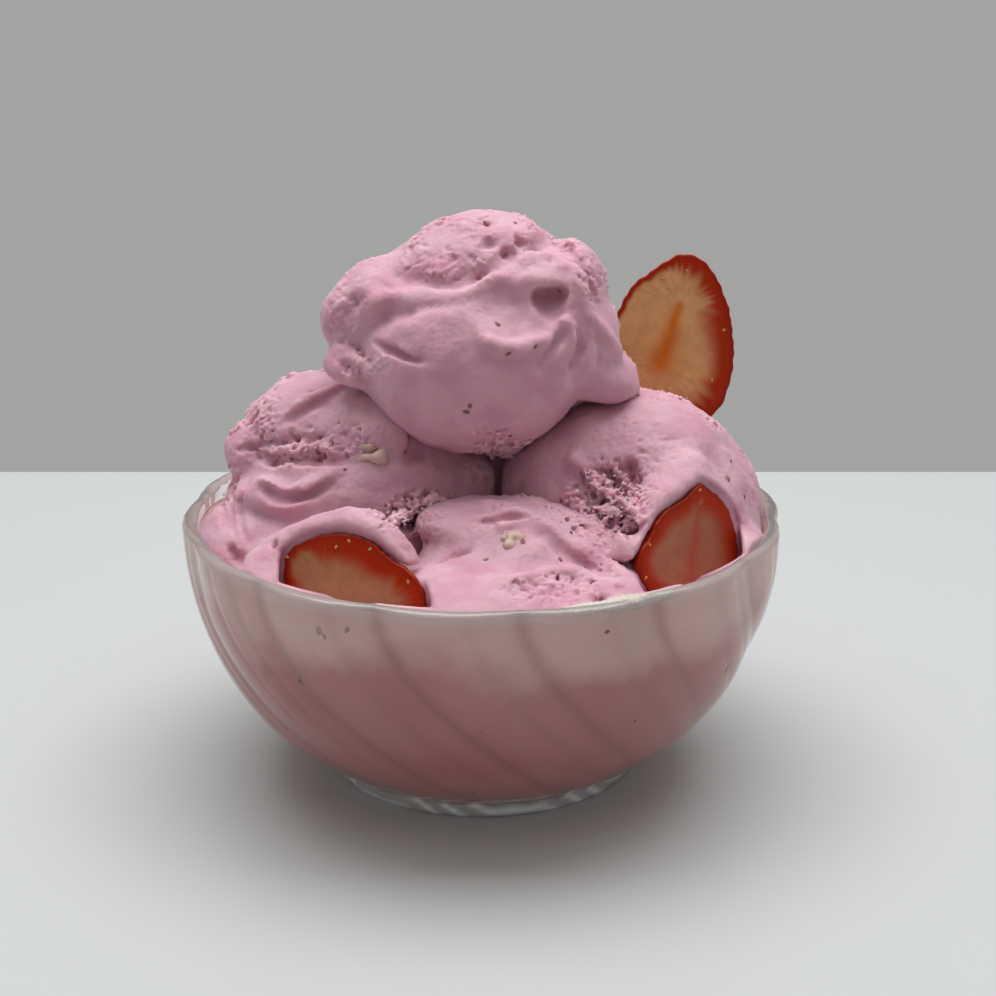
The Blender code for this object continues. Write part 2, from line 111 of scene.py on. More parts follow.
# A lump whose top is sliced off along a plane: centre, radii, plane's upward direction and a point on it.
TOP_SHELVES = (
    ((-1.6, -5.0, 85.6), (22.2, 19.6, 18.6), (-0.40, -0.10, 0.91), (-4.0, -18.0, 99.6)),
    ((9.5, -7.5, 94.0), (11.5, 11.0, 12.0), (-0.16, 0.22, 0.96), (13.0, -10.0, 104.6)),
)
LEFT_LUMPS = (
    ((-24.6, 4.0, 50.6), (27.2, 27.0, 27.4), 0, 0, 1),
    ((-33.5, 5.0, 67.5), (15.0, 16.0, 12.2), -12, 0, 1.5),
    ((-20.5, -5.5, 70.2), (11.2, 10.5, 9.4), 0, 0, 1.5),
    ((-46.0, 0.0, 65.0), (5.4, 7.0, 5.6), 0, 0, 2),
    ((-36.0, -10.0, 59.8), (12.6, 11.0, 4.6), 0, -25, 1.2),
    ((-31.0, -9.5, 49.0), (18.5, 17.0, 10.5), 0, -20, 3),
    ((-44.0, -9.0, 47.0), (12.5, 17.0, 12.0), 0, -12, 3),
    ((-35.0, -28.0, 46.5), (12.0, 17.0, 9.6), 0, -30, 2),
    ((-2.5, -1.0, 57.5), (5.5, 8.5, 9.0), 0, 0, 2.5),
)
RIGHT_LUMPS = (
    ((30.3, 2.5, 49.2), (25.8, 26.0, 27.0), 0, 0, 1),
    ((43.5, 0.0, 53.0), (11.0, 15.0, 12.5), 0, 0, 5),
    ((17.0, -4.0, 59.5), (11.5, 13.0, 12.5), 0, 0, 5),
    ((30.0, -3.0, 66.0), (17.0, 14.0, 9.6), 0, 0, 4),
    ((22.5, -20.0, 58.5), (7.5, 5.0, 4.6), 28, -25, 3),
    ((45.0, -14.0, 46.5), (11.5, 18.0, 10.0), 0, 18, 3),
    ((9.5, -2.0, 58.5), (5.5, 8.5, 9.0), 0, 0, 2.5),
)
FRONT_LUMPS = (
    ((7.5, -24.5, 35.6), (25.0, 25.5, 25.4), 0, 0, 1),
    ((5.0, -22.0, 55.8), (17.5, 12.0, 5.6), 6, 0, 3),
    ((21.0, -24.0, 50.0), (13.0, 14.0, 8.0), 18, 0, 3),
    ((13.0, -40.5, 49.8), (12.0, 7.5, 4.8), 4, 12, 2),
    ((22.5, -46.8, 50.2), (11.0, 6.0, 3.4), 0, 25, 2),
    ((-2.0, -41.0, 46.5), (18.5, 21.0, 8.8), 0, 0, 3),
    ((26.0, -42.0, 47.5), (14.0, 12.0, 6.0), 0, 35, 3),
)
BACK_LUMPS = (
    ((-1.0, 27.0, 50.6), (25.8, 25.4, 25.4), 0, 0, 1),
    ((-13.0, 31.0, 57.0), (14.0, 14.0, 11.5), 0, 0, 3),
    ((13.0, 32.0, 54.0), (14.0, 13.5, 10.5), 20, 0, 3),
    ((0.5, 7.0, 57.5), (8.0, 8.5, 9.5), 0, 0, 2),
)

# Strokes: kind, radius, height or depth, then photo pixels.
TOP_STROKES = (
    ("groove", 1.7, 1.2, (
        (388, 272), (402, 277), (419, 280), (449, 284), (484, 273), (507, 259), (530, 250), (552, 238),
    )),
    ("groove", 1.5, 1.6, ((556, 236), (570, 252), (580, 270), (590, 290), (598, 308))),
    ("ridge", 1.5, 1.2, (
        (364, 322), (373, 306), (387, 298), (410, 300), (429, 300), (461, 297), (490, 284), (520, 269),
    )),
    ("ridge", 1.9, 1.7, ((512, 270), (532, 263), (552, 262), (571, 274), (580, 292), (585, 309))),
    ("dish", 8.0, 2.2, ((498, 308), (514, 314))),
    ("ridge", 1.3, 1.2, (
        (478, 326), (484, 339), (494, 346), (508, 349), (528, 346), (548, 334), (556, 322),
    )),
    ("drop", 3.0, 4.6, ((550, 299), (552, 306), (549, 315), (544, 326))),
    ("groove", 1.3, 1.5, ((534, 293), (546, 296), (566, 293))),
    ("groove", 1.2, 1.8, ((569, 312), (575, 309))),
    ("ridge", 1.2, 1.2, ((558, 318), (570, 326), (566, 344), (548, 364))),
    ("ridge", 1.1, 1.0, ((584, 314), (600, 326), (612, 346), (625, 366))),
    ("groove", 1.0, 0.9, ((560, 332), (550, 352), (532, 372))),
    ("groove", 0.9, 0.8, ((576, 328), (580, 350), (568, 374))),
    ("groove", 0.8, 0.5, ((594, 334), (600, 352), (596, 370))),
    ("groove", 0.9, 1.5, ((372, 341), (383, 347), (396, 353), (411, 359), (430, 361))),
    ("groove", 0.9, 1.6, ((388, 348), (391, 352))),
    ("groove", 1.4, 1.2, ((326, 332), (340, 328))),
    ("groove", 1.1, 1.3, ((484, 222), (489, 226))),
    ("groove", 1.2, 1.4, ((512, 222), (519, 225))),
    ("groove", 1.2, 1.4, ((486, 241), (493, 245))),
    ("groove", 1.2, 1.6, ((516, 240), (524, 244))),
    ("groove", 0.9, 1.2, ((470, 238), (474, 241))),
    ("groove", 0.9, 1.2, ((502, 254), (508, 256))),
    ("groove", 1.8, 1.0, ((352, 345), (346, 330), (348, 310), (362, 296))),
    ("ridge", 1.3, 1.2, ((330, 350), (345, 352), (358, 362), (372, 376), (380, 381))),
    ("groove", 1.0, 1.2, ((340, 362), (352, 372), (366, 384))),
)
LEFT_STROKES = (
    ("ridge", 1.1, 1.1, ((284, 418), (298, 407), (313, 398), (333, 390), (356, 385), (380, 386))),
    ("groove", 1.0, 0.9, ((280, 424), (298, 414), (316, 405), (335, 397))),
    ("groove", 2.4, 2.6, ((396, 392), (410, 404), (418, 424), (419, 446), (408, 462))),
    ("groove", 1.4, 2.2, ((250, 455), (273, 458), (292, 458), (307, 456), (332, 459), (353, 463))),
    ("groove", 0.8, 1.2, ((236, 450), (262, 444), (300, 438), (330, 434))),
    ("ridge", 1.4, 1.3, ((254, 473), (269, 487), (286, 492), (307, 487), (330, 476), (344, 467))),
    ("groove", 1.2, 1.8, ((256, 483), (271, 494), (287, 498), (308, 494), (332, 483))),
    ("groove", 0.8, 0.9, ((232, 464), (226, 490), (224, 515), (231, 542))),
    ("groove", 0.8, 0.9, ((240, 470), (233, 495), (231, 520), (240, 546))),
    ("groove", 0.8, 0.9, ((249, 478), (241, 500), (240, 522), (247, 543))),
    ("groove", 1.3, 1.8, ((230, 546), (235, 556), (240, 566))),
    ("groove", 0.9, 1.2, ((273, 542), (276, 547))),
    ("groove", 1.5, 1.8, ((341, 489), (343, 490))),
    ("ridge", 1.1, 1.9, ((394, 522), (406, 514), (420, 511))),
    ("ridge", 1.1, 2.0, ((416, 508), (432, 500), (446, 504))),
    ("groove", 1.0, 1.8, ((400, 529), (416, 520), (432, 514))),
    ("ridge", 1.0, 1.6, ((406, 536), (422, 528), (438, 522))),
)
RIGHT_STROKES = (
    ("ridge", 1.4, 1.0, ((570, 456), (577, 468), (584, 483))),
    ("groove", 1.3, 2.2, ((629, 462), (632, 474), (637, 486))),
    ("groove", 1.8, 2.8, ((570, 468), (586, 484), (600, 500), (612, 512), (626, 524), (640, 536))),
    ("groove", 1.2, 2.4, ((600, 470), (612, 480), (618, 494))),
    ("groove", 1.0, 2.0, ((586, 508), (600, 520), (612, 534))),
    ("ridge", 1.2, 1.4, ((590, 474), (602, 486), (618, 500))),
)
FRONT_STROKES = (
    ("ridge", 0.9, 0.7, ((470, 520), (493, 516), (512, 513), (534, 515))),
    ("ridge", 0.9, 0.7, ((495, 530), (518, 523), (537, 518))),
    ("groove", 0.9, 0.9, ((478, 526), (505, 519), (536, 516))),
    ("ridge", 1.5, 1.2, ((536, 518), (552, 528), (569, 544), (601, 564), (633, 582))),
    ("groove", 1.2, 1.0, ((530, 528), (550, 542), (570, 558), (600, 574))),
    ("groove", 1.6, 1.8, ((568, 532), (574, 535))),
    ("ridge", 1.2, 1.0, ((500, 590), (522, 579), (553, 571), (579, 576), (601, 582), (610, 588))),
    ("groove", 1.2, 1.5, ((592, 598), (606, 597))),
    ("ridge", 1.3, 2.2, ((566, 498), (580, 501), (596, 510))),
    ("ridge", 1.2, 2.0, ((586, 514), (602, 521), (620, 531))),
    ("ridge", 1.0, 1.8, ((602, 503), (614, 509), (628, 518))),
    ("groove", 1.0, 1.8, ((580, 508), (598, 515), (616, 524))),
    ("groove", 0.9, 0.9, ((430, 566), (450, 556), (474, 552))),
)

# Rough patches, in photo pixels: centre, half widths, roughness, porosity.
TOP_PATCHES = (
    ((446, 266), (50, 15), 0.5, 0.3),
    ((505, 234), (48, 22), 0.25, 0.5),
    ((590, 270), (14, 30), 0.6, 0.5),
    ((342, 312), (20, 30), 0.35, 0.25),
    ((500, 447), (30, 16), 2.2, 0.3),
    ((366, 366), (22, 16), 0.4, 0.2),
)
LEFT_PATCHES = (
    ((292, 445), (66, 17), 1.3, 0.5),
    ((350, 440), (30, 18), 0.7, 0.5),
    ((420, 514), (38, 20), 2.2, 0.2),
    ((246, 425), (22, 14), 0.7, 0.5),
)
RIGHT_PATCHES = (
    ((625, 445), (50, 32), 0.12, 0.7),
    ((606, 500), (38, 34), 1.9, 0.4),
)
FRONT_PATCHES = (
    ((600, 513), (36, 22), 2.2, 0.2),
    ((560, 588), (52, 14), 0.7, 0.7),
    ((612, 556), (30, 24), 0.4, 0.5),
)

# Slices: thickness, centre, tilts about Y, X and Z, and photo pixels round the cut face.
SLICE_OUTLINES = {
    "strawberry_slice_back": (
        4.4, (40.0, 20.5, 82.0), (10, -6, 0),
        ((687, 251), (698, 253), (709, 262), (719, 275), (726, 291), (733, 311), (737, 345),
         (736, 368), (729, 396), (717, 416), (694, 432), (664, 432), (636, 412), (618, 380),
         (606, 348), (607, 325), (617, 307), (630, 284), (655, 265), (674, 253)),
    ),
    "strawberry_slice_left": (
        4.6, (-23.2, -38.2, 48.6), (16, -16, -27),
        ((281, 562), (284, 551), (301, 539), (322, 532), (349, 531), (372, 539), (390, 555),
         (412, 571), (426, 589), (430, 612), (422, 636), (398, 652), (362, 656), (322, 648),
         (294, 626), (281, 596)),
    ),
    "strawberry_slice_right": (
        4.4, (39.6, -25.6, 49.8), (12, -12, 42),
        ((701, 481), (711, 486), (723, 496), (732, 510), (738, 530), (741, 552), (738, 576),
         (724, 600), (700, 618), (672, 614), (650, 598), (638, 576), (638, 556), (649, 537),
         (656, 521), (666, 508), (686, 495)),
    ),
}
BACK_SLICE, LEFT_SLICE, RIGHT_SLICE = SLICE_OUTLINES

# How a cut face looks: reach of the red and how much further it reaches on the right, colours of the
# flesh and the streak, how strong the streak is and its ends in photo pixels.
# The left and right slices' flesh colours are darker than the back one's, partly their own redder flesh and
# partly painted shade
SLICE_LOOKS = {
    "strawberry_slice_back": (
        4.8, 0.75, (0.70, 0.40, 0.17), (0.66, 0.17, 0.01), 0.95, ((679, 306), (661, 362)),
    ),
    "strawberry_slice_left": (
        7.0, 0.6, (0.43, 0.20, 0.10), (0.45, 0.23, 0.13), 0.5, ((318, 580), (378, 606)),
    ),
    "strawberry_slice_right": (
        6.5, 0.1, (0.43, 0.17, 0.10), (0.42, 0.07, 0.04), 0.7, ((698, 508), (690, 585)),
    ),
}
SLICE_RED = (0.42, 0.026, 0.001)
SLICE_SKIN = (0.26, 0.012, 0.004)
SLICE_BACK_WIDTH = 0.80
SLICE_EDGE_ROUND = 1.0
FACE_INSET = 0.4
SLICE_SEEDS = {
    "strawberry_slice_back": ((663, 279), (668, 288), (687, 271), (724, 330), (712, 380)),
    "strawberry_slice_left": ((287, 557), (336, 547), (349, 541), (370, 549), (408, 582)),
    "strawberry_slice_right": ((650, 545), (646, 578), (733, 522), (700, 490)),
}

# Photo pixels along the soft lip of ice cream over a slice.
SLICE_LIPS = {
    "strawberry_slice_left": (
        (279, 560), (284, 546), (300, 534), (322, 526), (349, 525), (374, 533), (392, 549), (404, 562),
    ),
    "strawberry_slice_right": (
        (636, 556), (646, 535), (658, 512), (676, 494), (695, 480), (706, 477), (722, 489), (736, 506),
    ),
}

# Rounds of a lip from the back to the front: how far behind the cut face, radius, how softly it blends in.
LIP_LAYERS = ((4.6, 1.9, 8.0), (2.2, 1.0, 6.0), (0.6, 0.6, 2.5))

# Colours: two that are mixed by noise, then the painted shade of hollows, the crests' colour (partly paler
# ice cream, partly a painted highlight) and other places
ICE_CREAM = ((0.665, 0.395, 0.475), (0.615, 0.32, 0.41))
ICE_CREAM_PAINTED_SHADE = (0.46, 0.14, 0.21)
ICE_CREAM_CREST_AND_HIGHLIGHT = (0.80, 0.56, 0.62)
MELT = ((0.71, 0.27, 0.27), (0.75, 0.32, 0.315))
MELT_TOP = (0.70, 0.40, 0.45)
# The coat's colour is pale, partly as a thin coat of melt and partly as painted light under the rim
MELT_COAT_WITH_PAINTED_LIGHT = (0.97, 0.66, 0.62)
MELT_FOOT = (0.90, 0.42, 0.40)
# Painted shade: dark lines laid on the melt along the glass's flute notches
MELT_NOTCH_SHADE = (0.42, 0.14, 0.14)
# Glass colours, which show only where the glass is whitened; at the foot that whitening is painted light
GLASS = ((0.97, 0.985, 0.98), (0.90, 0.92, 0.91))
SLICE_SPOT = (0.30, 0.03, 0.005)
FRUIT = ((0.54, 0.33, 0.29), (0.66, 0.47, 0.41))
SEED = ((0.20, 0.07, 0.065), (0.34, 0.14, 0.13))
PIP = ((0.52, 0.22, 0.05), (0.60, 0.32, 0.10))
CREAM = ((0.80, 0.60, 0.52), (0.86, 0.68, 0.60))
FLOOR = (0.62, 0.645, 0.645)
ROOM = (0.9, 0.9, 0.88, 1.0)
CREAM_IOR = 1.36
GLASS_IOR = 1.5
STRAWBERRY_IOR = 1.33

# Bits of fruit in the ice cream, in photo pixels, and their sizes in millimetres
TOP_SPECKS = (
    (497, 325), (508, 353), (470, 406), (466, 411), (535, 346), (485, 224), (515, 224), (560, 290),
    (590, 300),
)
LEFT_SPECKS = ((273, 431), (258, 449), (318, 452), (345, 470), (404, 452), (384, 520), (425, 505))
RIGHT_SPECKS = ((727, 479), (730, 461), (744, 497), (636, 482), (612, 470), (592, 505))
FRONT_SPECKS = ((571, 533), (523, 543), (560, 560), (601, 598), (486, 560))
LEFT_CHUNKS = (((376, 455), (3.2, 1.9, 1.7)), ((366, 448), (1.6, 1.2, 1.0)))
FRONT_CHUNKS = (((512, 541), (2.8, 1.9, 1.3)), ((506, 536), (1.4, 1.0, 0.9)))
MELT_SPECKS = (
    ((306, 677), 2.4), ((482, 725), 1.3), ((718, 663), 2.6), ((630, 715), 1.4), ((473, 783), 1.1),
    ((604, 628), 1.6), ((540, 793), 1.2), ((441, 800), 1.6), ((491, 801), 1.8),
)
MELT_CHUNKS = (((325, 632), 3.4), ((350, 624), 2.6), ((398, 631), 2.4))
CREAM_RADIUS = 57.2
CREAM_PIXELS = ((556, 607), (584, 606), (612, 602), (640, 596), (664, 588))


def ray(across, down):
    """Direction from the camera through a photo pixel."""
    right = (across - FRAME_PX / 2) / FOCAL_PX
    up = (FRAME_PX / 2 - down) / FOCAL_PX
    sine, cosine = math.sin(PITCH), math.cos(PITCH)
    direction = np.array((right, cosine + up * sine, -sine + up * cosine))
    return direction / np.linalg.norm(direction)


def pixels_of(x, y, z):
    """Photo pixel across and down of points, and their distance along the view."""
    dx, dy, dz = x - CAMERA[0], y - CAMERA[1], z - CAMERA[2]
    sine, cosine = math.sin(PITCH), math.cos(PITCH)
    depth = dy * cosine - dz * sine
    up = dy * sine + dz * cosine
    return FRAME_PX / 2 + FOCAL_PX * dx / depth, FRAME_PX / 2 - FOCAL_PX * up / depth, depth


def soft_min(a, b, k):
    """The smaller of two distances, blended over k."""
    blend = np.maximum(k - np.abs(a - b), 0.0) / k
    return np.minimum(a, b) - blend * blend * k * 0.25


def soft_max(a, b, k):
    """The larger of two distances, blended over k."""
    return -soft_min(-a, -b, k)


def smooth_path(points, spacing):
    """Points along a smooth curve through the given ones, at most this far apart."""
    knots = [np.array(p, float) for p in points]
    knots = [2 * knots[0] - knots[1]] + knots + [2 * knots[-1] - knots[-2]]
    made = []
    for before, start, end, after in zip(knots, knots[1:], knots[2:], knots[3:]):
        count = max(int(math.ceil(np.linalg.norm(end - start) / spacing)), 1)
        for step in range(count):
            t = step / count
            linear = (end - before) * t
            square = (2 * before - 5 * start + 4 * end - after) * t**2
            cube = (3 * start - before - 3 * end + after) * t**3
            made.append(0.5 * (2 * start + linear + square + cube))
    return np.array(made + [knots[-2]])


def slice_frame(turns):
    """A slice's own directions across, up and through its thickness, as rows."""
    turn_y, turn_x, turn_z = (math.radians(angle) for angle in turns)
    turn_x += math.pi / 2
    upright = np.array((
        (1, 0, 0), (0, math.cos(turn_x), -math.sin(turn_x)), (0, math.sin(turn_x), math.cos(turn_x)),
    ))
    lean = np.array((
        (math.cos(turn_y), 0, math.sin(turn_y)), (0, 1, 0), (-math.sin(turn_y), 0, math.cos(turn_y)),
    ))
    spin = np.array((
        (math.cos(turn_z), -math.sin(turn_z), 0), (math.sin(turn_z), math.cos(turn_z), 0), (0, 0, 1),
    ))
    return (spin @ lean @ upright).T


def on_slice(name, pixels):
    """Places on a slice's cut face where the camera sees these pixels, in the face's own directions."""
    thickness, centre, turns, _ = SLICE_OUTLINES[name]
    axes = slice_frame(turns)
    face = np.array(centre) + axes[2] * thickness / 2
    found = []
    for across, down in pixels:
        direction = ray(across, down)
        travel = ((face - np.array(CAMERA)) @ axes[2]) / (direction @ axes[2])
        place = np.array(CAMERA) + travel * direction - np.array(centre)
        found.append((place @ axes[0], place @ axes[1]))
    return np.array(found)


class NoiseBank:
    """Repeating blocks of noise, one for each feature size, that every piece takes a part of."""

    side = 128

    def __init__(self, step):
        self.step = step
        self.blocks = {}

    def block(self, size):
        if size not in self.blocks:
            random = np.random.default_rng(int(size * 100))
            spectrum = np.fft.rfftn(random.standard_normal((self.side,) * 3))
            whole = np.fft.fftfreq(self.side, self.step) ** 2
            half = np.fft.rfftfreq(self.side, self.step) ** 2
            frequency = np.sqrt(whole[:, None, None] + whole[None, :, None] + half[None, None, :])
            spectrum *= np.exp(-(((frequency - 1 / size) * size / 0.45) ** 2))
            made = np.fft.irfftn(spectrum, s=(self.side,) * 3)
            self.blocks[size] = (made / made.std()).astype(np.float32)
        return self.blocks[size]

    def take(self, size, shape, seed):
        block = self.block(size)
        rows = [(np.arange(n) + 37 * seed + 11 * axis) % self.side for axis, n in enumerate(shape)]
        return block[np.ix_(*rows)]


noise = NoiseBank(VOXEL)


class Clay:
    """A grid of signed distances, negative inside, that a piece is sculpted in."""

    def __init__(self, low, high):
        self.low = np.array(low, float)
        self.shape = tuple(int((b - a) / VOXEL) + 1 for a, b in zip(low, high))
        self.axes = [low[i] + VOXEL * np.arange(self.shape[i]) for i in range(3)]
        self.field = np.full(self.shape, 60.0, np.float32)

    def window(self, low, high):
        """Slices of the grid for a box, and the coordinates in it."""
        spans = []
        for axis in range(3):
            first = int(np.clip((low[axis] - self.low[axis]) / VOXEL, 0, self.shape[axis] - 1))
            last = int(np.clip((high[axis] - self.low[axis]) / VOXEL + 2, first + 1, self.shape[axis]))
            spans.append(slice(first, last))
        x, y, z = (self.axes[i][spans[i]] for i in range(3))
        return tuple(spans), x[:, None, None], y[None, :, None], z[None, None, :]

    def whole(self):
        x, y, z = self.axes
        return x[:, None, None], y[None, :, None], z[None, None, :]

    def lump(self, centre, radii, tilt_y=0, tilt_z=0):
        """Distance to a tilted ellipsoid."""
        x, y, z = self.whole()
        x, y, z = x - centre[0], y - centre[1], z - centre[2]
        cy, sy = math.cos(math.radians(tilt_y)), math.sin(math.radians(tilt_y))
        cz, sz = math.cos(math.radians(tilt_z)), math.sin(math.radians(tilt_z))
        u = cz * x + sz * y
        v = (-sz * x + cz * y) / radii[1]
        u, w = (cy * u - sy * z) / radii[0], (sy * u + cy * z) / radii[2]
        reach = np.sqrt(u * u + v * v + w * w)
        slope = np.sqrt((u / radii[0]) ** 2 + (v / radii[1]) ** 2 + (w / radii[2]) ** 2)
        return (reach * (reach - 1.0) / np.maximum(slope, 1e-4)).astype(np.float32)

    def shelf(self, centre, radii, upward, point):
        """Blends in an ellipsoid whose top is sliced off along a plane, which leaves a lip."""
        x, y, z = self.whole()
        above = upward[0] * (x - point[0]) + upward[1] * (y - point[1]) + upward[2] * (z - point[2])
        self.field = soft_min(self.field, soft_max(self.lump(centre, radii), above, 2.0), 1.5)

    def clip(self):
        """Keeps the piece inside the glass, just into its wall, and above the bottom of the scoops."""
        x, y, z = self.whole()
        wall = body_radius(np.minimum(z, BODY_CENTRE_Z), BODY_RADIUS - WALL) + MELT_REACH
        wall = wall - np.clip((MELT_LEVEL - z) / 2.0, 0, 1) * SCOOP_INSET
        self.field = soft_max(self.field, (np.hypot(x, y) - wall).astype(np.float32), 0.4)
        self.field = np.maximum(self.field, (SCOOP_BOTTOM - z).astype(np.float32))

    def blurred(self, width):
        """The distances averaged over a box this wide, three times over."""
        made = self.field.astype(np.float64)
        half = max(int(round(width / VOXEL / 2)), 1)
        for axis in (0, 1, 2) * 3:
            margins = [(half + 1, half) if a == axis else (0, 0) for a in range(3)]
            total = np.cumsum(np.pad(made, margins, "edge"), axis)
            count = self.shape[axis]
            upper = np.take(total, np.arange(2 * half + 1, 2 * half + 1 + count), axis)
            made = (upper - np.take(total, np.arange(count), axis)) / (2 * half + 1)
        return made

    def sample(self, points, values=None):
        """Values between the grid's points."""
        values = self.field if values is None else values
        place = (np.asarray(points) - self.low) / VOXEL
        place = np.clip(place, 0, np.array(self.shape) - 1.001)
        base = place.astype(int)
        part = place - base
        made = 0.0
        for corner in range(8):
            step = np.array((corner & 1, corner >> 1 & 1, corner >> 2 & 1))
            weight = np.prod(np.where(step, part, 1 - part), axis=-1)
            i, j, k = (base + step).T
            made = made + weight * values[i, j, k]
        return made

    def normals(self, points):
        """Outward directions at points."""
        shifts = np.eye(3) * 1.2 * VOXEL
        slope = [self.sample(points + s) - self.sample(points - s) for s in shifts]
        slope = np.stack(slope, axis=-1)
        return slope / np.maximum(np.linalg.norm(slope, axis=-1, keepdims=True), 1e-6)

    def cast(self, pixels):
        """Where rays through photo pixels meet the surface, or pass nearest to it."""
        centre = self.low + np.array(self.shape) * VOXEL / 2
        middle = np.linalg.norm(centre - np.array(CAMERA))
        travel = np.arange(middle - 45.0, middle + 30.0, 0.5)
        found = []
        for across, down in pixels:
            line = np.array(CAMERA) + travel[:, None] * ray(across, down)
            distance = self.sample(line)
            outside = np.any((line < self.low) | (line > self.low + np.array(self.shape) * VOXEL), axis=1)
            distance = np.where(outside, 60.0, distance)
            inside = np.nonzero(distance < 0)[0]
            index = inside[0] if len(inside) else int(np.argmin(distance))
            found.append(line[index])
        found = np.array(found)
        for _ in range(2):
            found = found - self.normals(found) * self.sample(found)[:, None]
        return found

    def tube(self, points, radii):
        """Distance to a chain of tapered capsules, in the box round it."""
        pad = max(radii) + 3.0
        window, x, y, z = self.window(points.min(0) - pad, points.max(0) + pad)
        made = None
        for start, end, first, last in zip(points, points[1:], radii, radii[1:]):
            along = end - start
            length = max(float(along @ along), 1e-6)
            dx, dy, dz = x - start[0], y - start[1], z - start[2]
            t = np.clip((dx * along[0] + dy * along[1] + dz * along[2]) / length, 0, 1)
            gap = np.sqrt((dx - t * along[0]) ** 2 + (dy - t * along[1]) ** 2 + (dz - t * along[2]) ** 2)
            gap = gap - (first + (last - first) * t)
            made = gap if made is None else np.minimum(made, gap)
        return window, made.astype(np.float32)

    def press_round(self, name):
        """Clears what would hide a slice's cut face, but keeps what the rim hides from the camera."""
        thickness, centre, turns, pixels = SLICE_OUTLINES[name]
        normal = slice_frame(turns)[2]
        reach = np.array((22.0, 22.0, 22.0))
        window, x, y, z = self.window(np.array(centre) - reach, np.array(centre) + reach)
        across, down, _ = pixels_of(x, y, z)
        outline = smooth_path(pixels + pixels[:1], 14.0)
        nearest = np.full(across.shape, 1e9)
        inside = np.zeros(across.shape, bool)
        for (ax, ay), (bx, by) in zip(outline, outline[1:]):
            dx, dy = bx - ax, by - ay
            t = np.clip(((across - ax) * dx + (down - ay) * dy) / (dx * dx + dy * dy), 0, 1)
            nearest = np.minimum(nearest, (across - ax - t * dx) ** 2 + (down - ay - t * dy) ** 2)
            crosses = (ay > down) != (by > down)
            inside ^= crosses & (across < ax + (down - ay) * dx / (dy + 1e-9))
        from_outline = np.where(inside, -1.0, 1.0) * np.sqrt(nearest) / PX_PER_MM - 0.3
        before = normal[0] * (x - centre[0]) + normal[1] * (y - centre[1]) + normal[2] * (z - centre[2])
        behind = thickness / 2 - FACE_INSET - before
        over_rim = np.minimum((BOWL_HEIGHT - CAMERA[2]) / np.minimum(z - CAMERA[2], -1.0), 1.0)
        sight = np.hypot(CAMERA[0] + over_rim * (x - CAMERA[0]), CAMERA[1] + over_rim * (y - CAMERA[1]))
        hidden = sight - (RIM_RADIUS - WALL - 0.6)
        prism = np.maximum(np.maximum(from_outline, behind), hidden)
        self.field[window] = soft_max(self.field[window], -prism.astype(np.float32), 1.2)

    def lip(self, name):
        """Lays a soft lip of ice cream over a slice's edge."""
        thickness, centre, turns, _ = SLICE_OUTLINES[name]
        axes = slice_frame(turns)
        corners = on_slice(name, SLICE_LIPS[name])
        places = np.array(centre) + corners @ axes[:2] + (thickness / 2 - FACE_INSET) * axes[2]
        places = smooth_path(places, 1.0)
        share = np.linspace(0, 1, len(places))
        swell = np.sin(math.pi * share) * (1 + 0.2 * np.sin(9 * share + centre[0]))
        for behind, radius, soft in LIP_LAYERS:
            window, distance = self.tube(places - behind * axes[2], 0.2 + radius * swell)
            self.field[window] = soft_min(self.field[window], distance, soft)

    def stroke(self, kind, radius, height, pixels):
        """Lays a ridge on the surface, or presses a groove, a dish or a tapering drop into it."""
        points = smooth_path(self.cast(smooth_path(pixels, 12.0)), 1.5)
        normals = self.normals(points)
        share = np.linspace(0, 1, len(points))
        uneven = 1.0 + 0.12 * np.sin(0.7 * np.arange(len(points)) + radius * pixels[0][0])
        taper = np.clip(np.minimum(share, 1 - share) * 5 + 0.15, 0, 1) * uneven
        if kind == "drop":
            taper = 1.0 - 0.7 * share
        if kind == "ridge":
            points = points + normals * (height * taper - radius)[:, None]
            window, distance = self.tube(points, radius * taper)
            self.field[window] = soft_min(self.field[window], distance, 1.2 * radius)
        else:
            if kind == "dish":
                taper = np.ones(len(points))
            points = points + normals * (radius - height * taper)[:, None]
            window, distance = self.tube(points, radius * (0.6 + 0.4 * taper))
            self.field[window] = soft_max(self.field[window], -distance, 0.8 * min(radius, 2.0))

    def roughen(self, patches, seed):
        """Adds uneven relief all over, and crumbs and pores in the rough patches."""
        x, y, z = self.whole()
        across, down, _ = pixels_of(x, y, z)
        rough = np.zeros(self.shape, np.float32)
        porous = np.zeros(self.shape, np.float32)
        front = 1.0 / (1.0 + np.exp((y - np.mean(self.axes[1])) / 3.0))
        ragged = noise.take(4.0, self.shape, seed + 5)
        for (u, v), (half_u, half_v), much, pores in patches:
            reach = ((across - u) / half_u) ** 2 + ((down - v) / half_v) ** 2
            mask = 1.0 / (1.0 + np.exp(4.0 * (reach - 1.0 + 0.35 * ragged))) * front
            rough = np.maximum(rough, mask * much)
            porous = np.maximum(porous, mask * pores)
        wide = noise.take(9.0, self.shape, seed)
        back = np.clip(wide * 0.7 + 0.2, 0, 1) * (1 - front)
        rough = np.maximum(rough, back)
        porous = np.maximum(porous, back)
        crumbs = noise.take(2.6, self.shape, seed + 1)
        grains = noise.take(1.2, self.shape, seed + 2)
        relief = 0.16 * wide + (0.05 + 0.06 * back) * noise.take(4.0, self.shape, seed + 3)
        relief += rough * (0.24 * crumbs - 0.26 * np.abs(crumbs) + 0.20 * grains)
        pits = np.clip(noise.take(1.8, self.shape, seed + 4) - 1.5 + 0.4 * ragged, 0, 1.3)
        holes = np.clip(noise.take(3.2, self.shape, seed + 6) - 1.3, 0, 1.0)
        relief += 0.035 * grains - porous * (0.7 * pits + 0.5 * rough * holes)
        self.field = self.field - relief.astype(np.float32)
        self.rough = rough

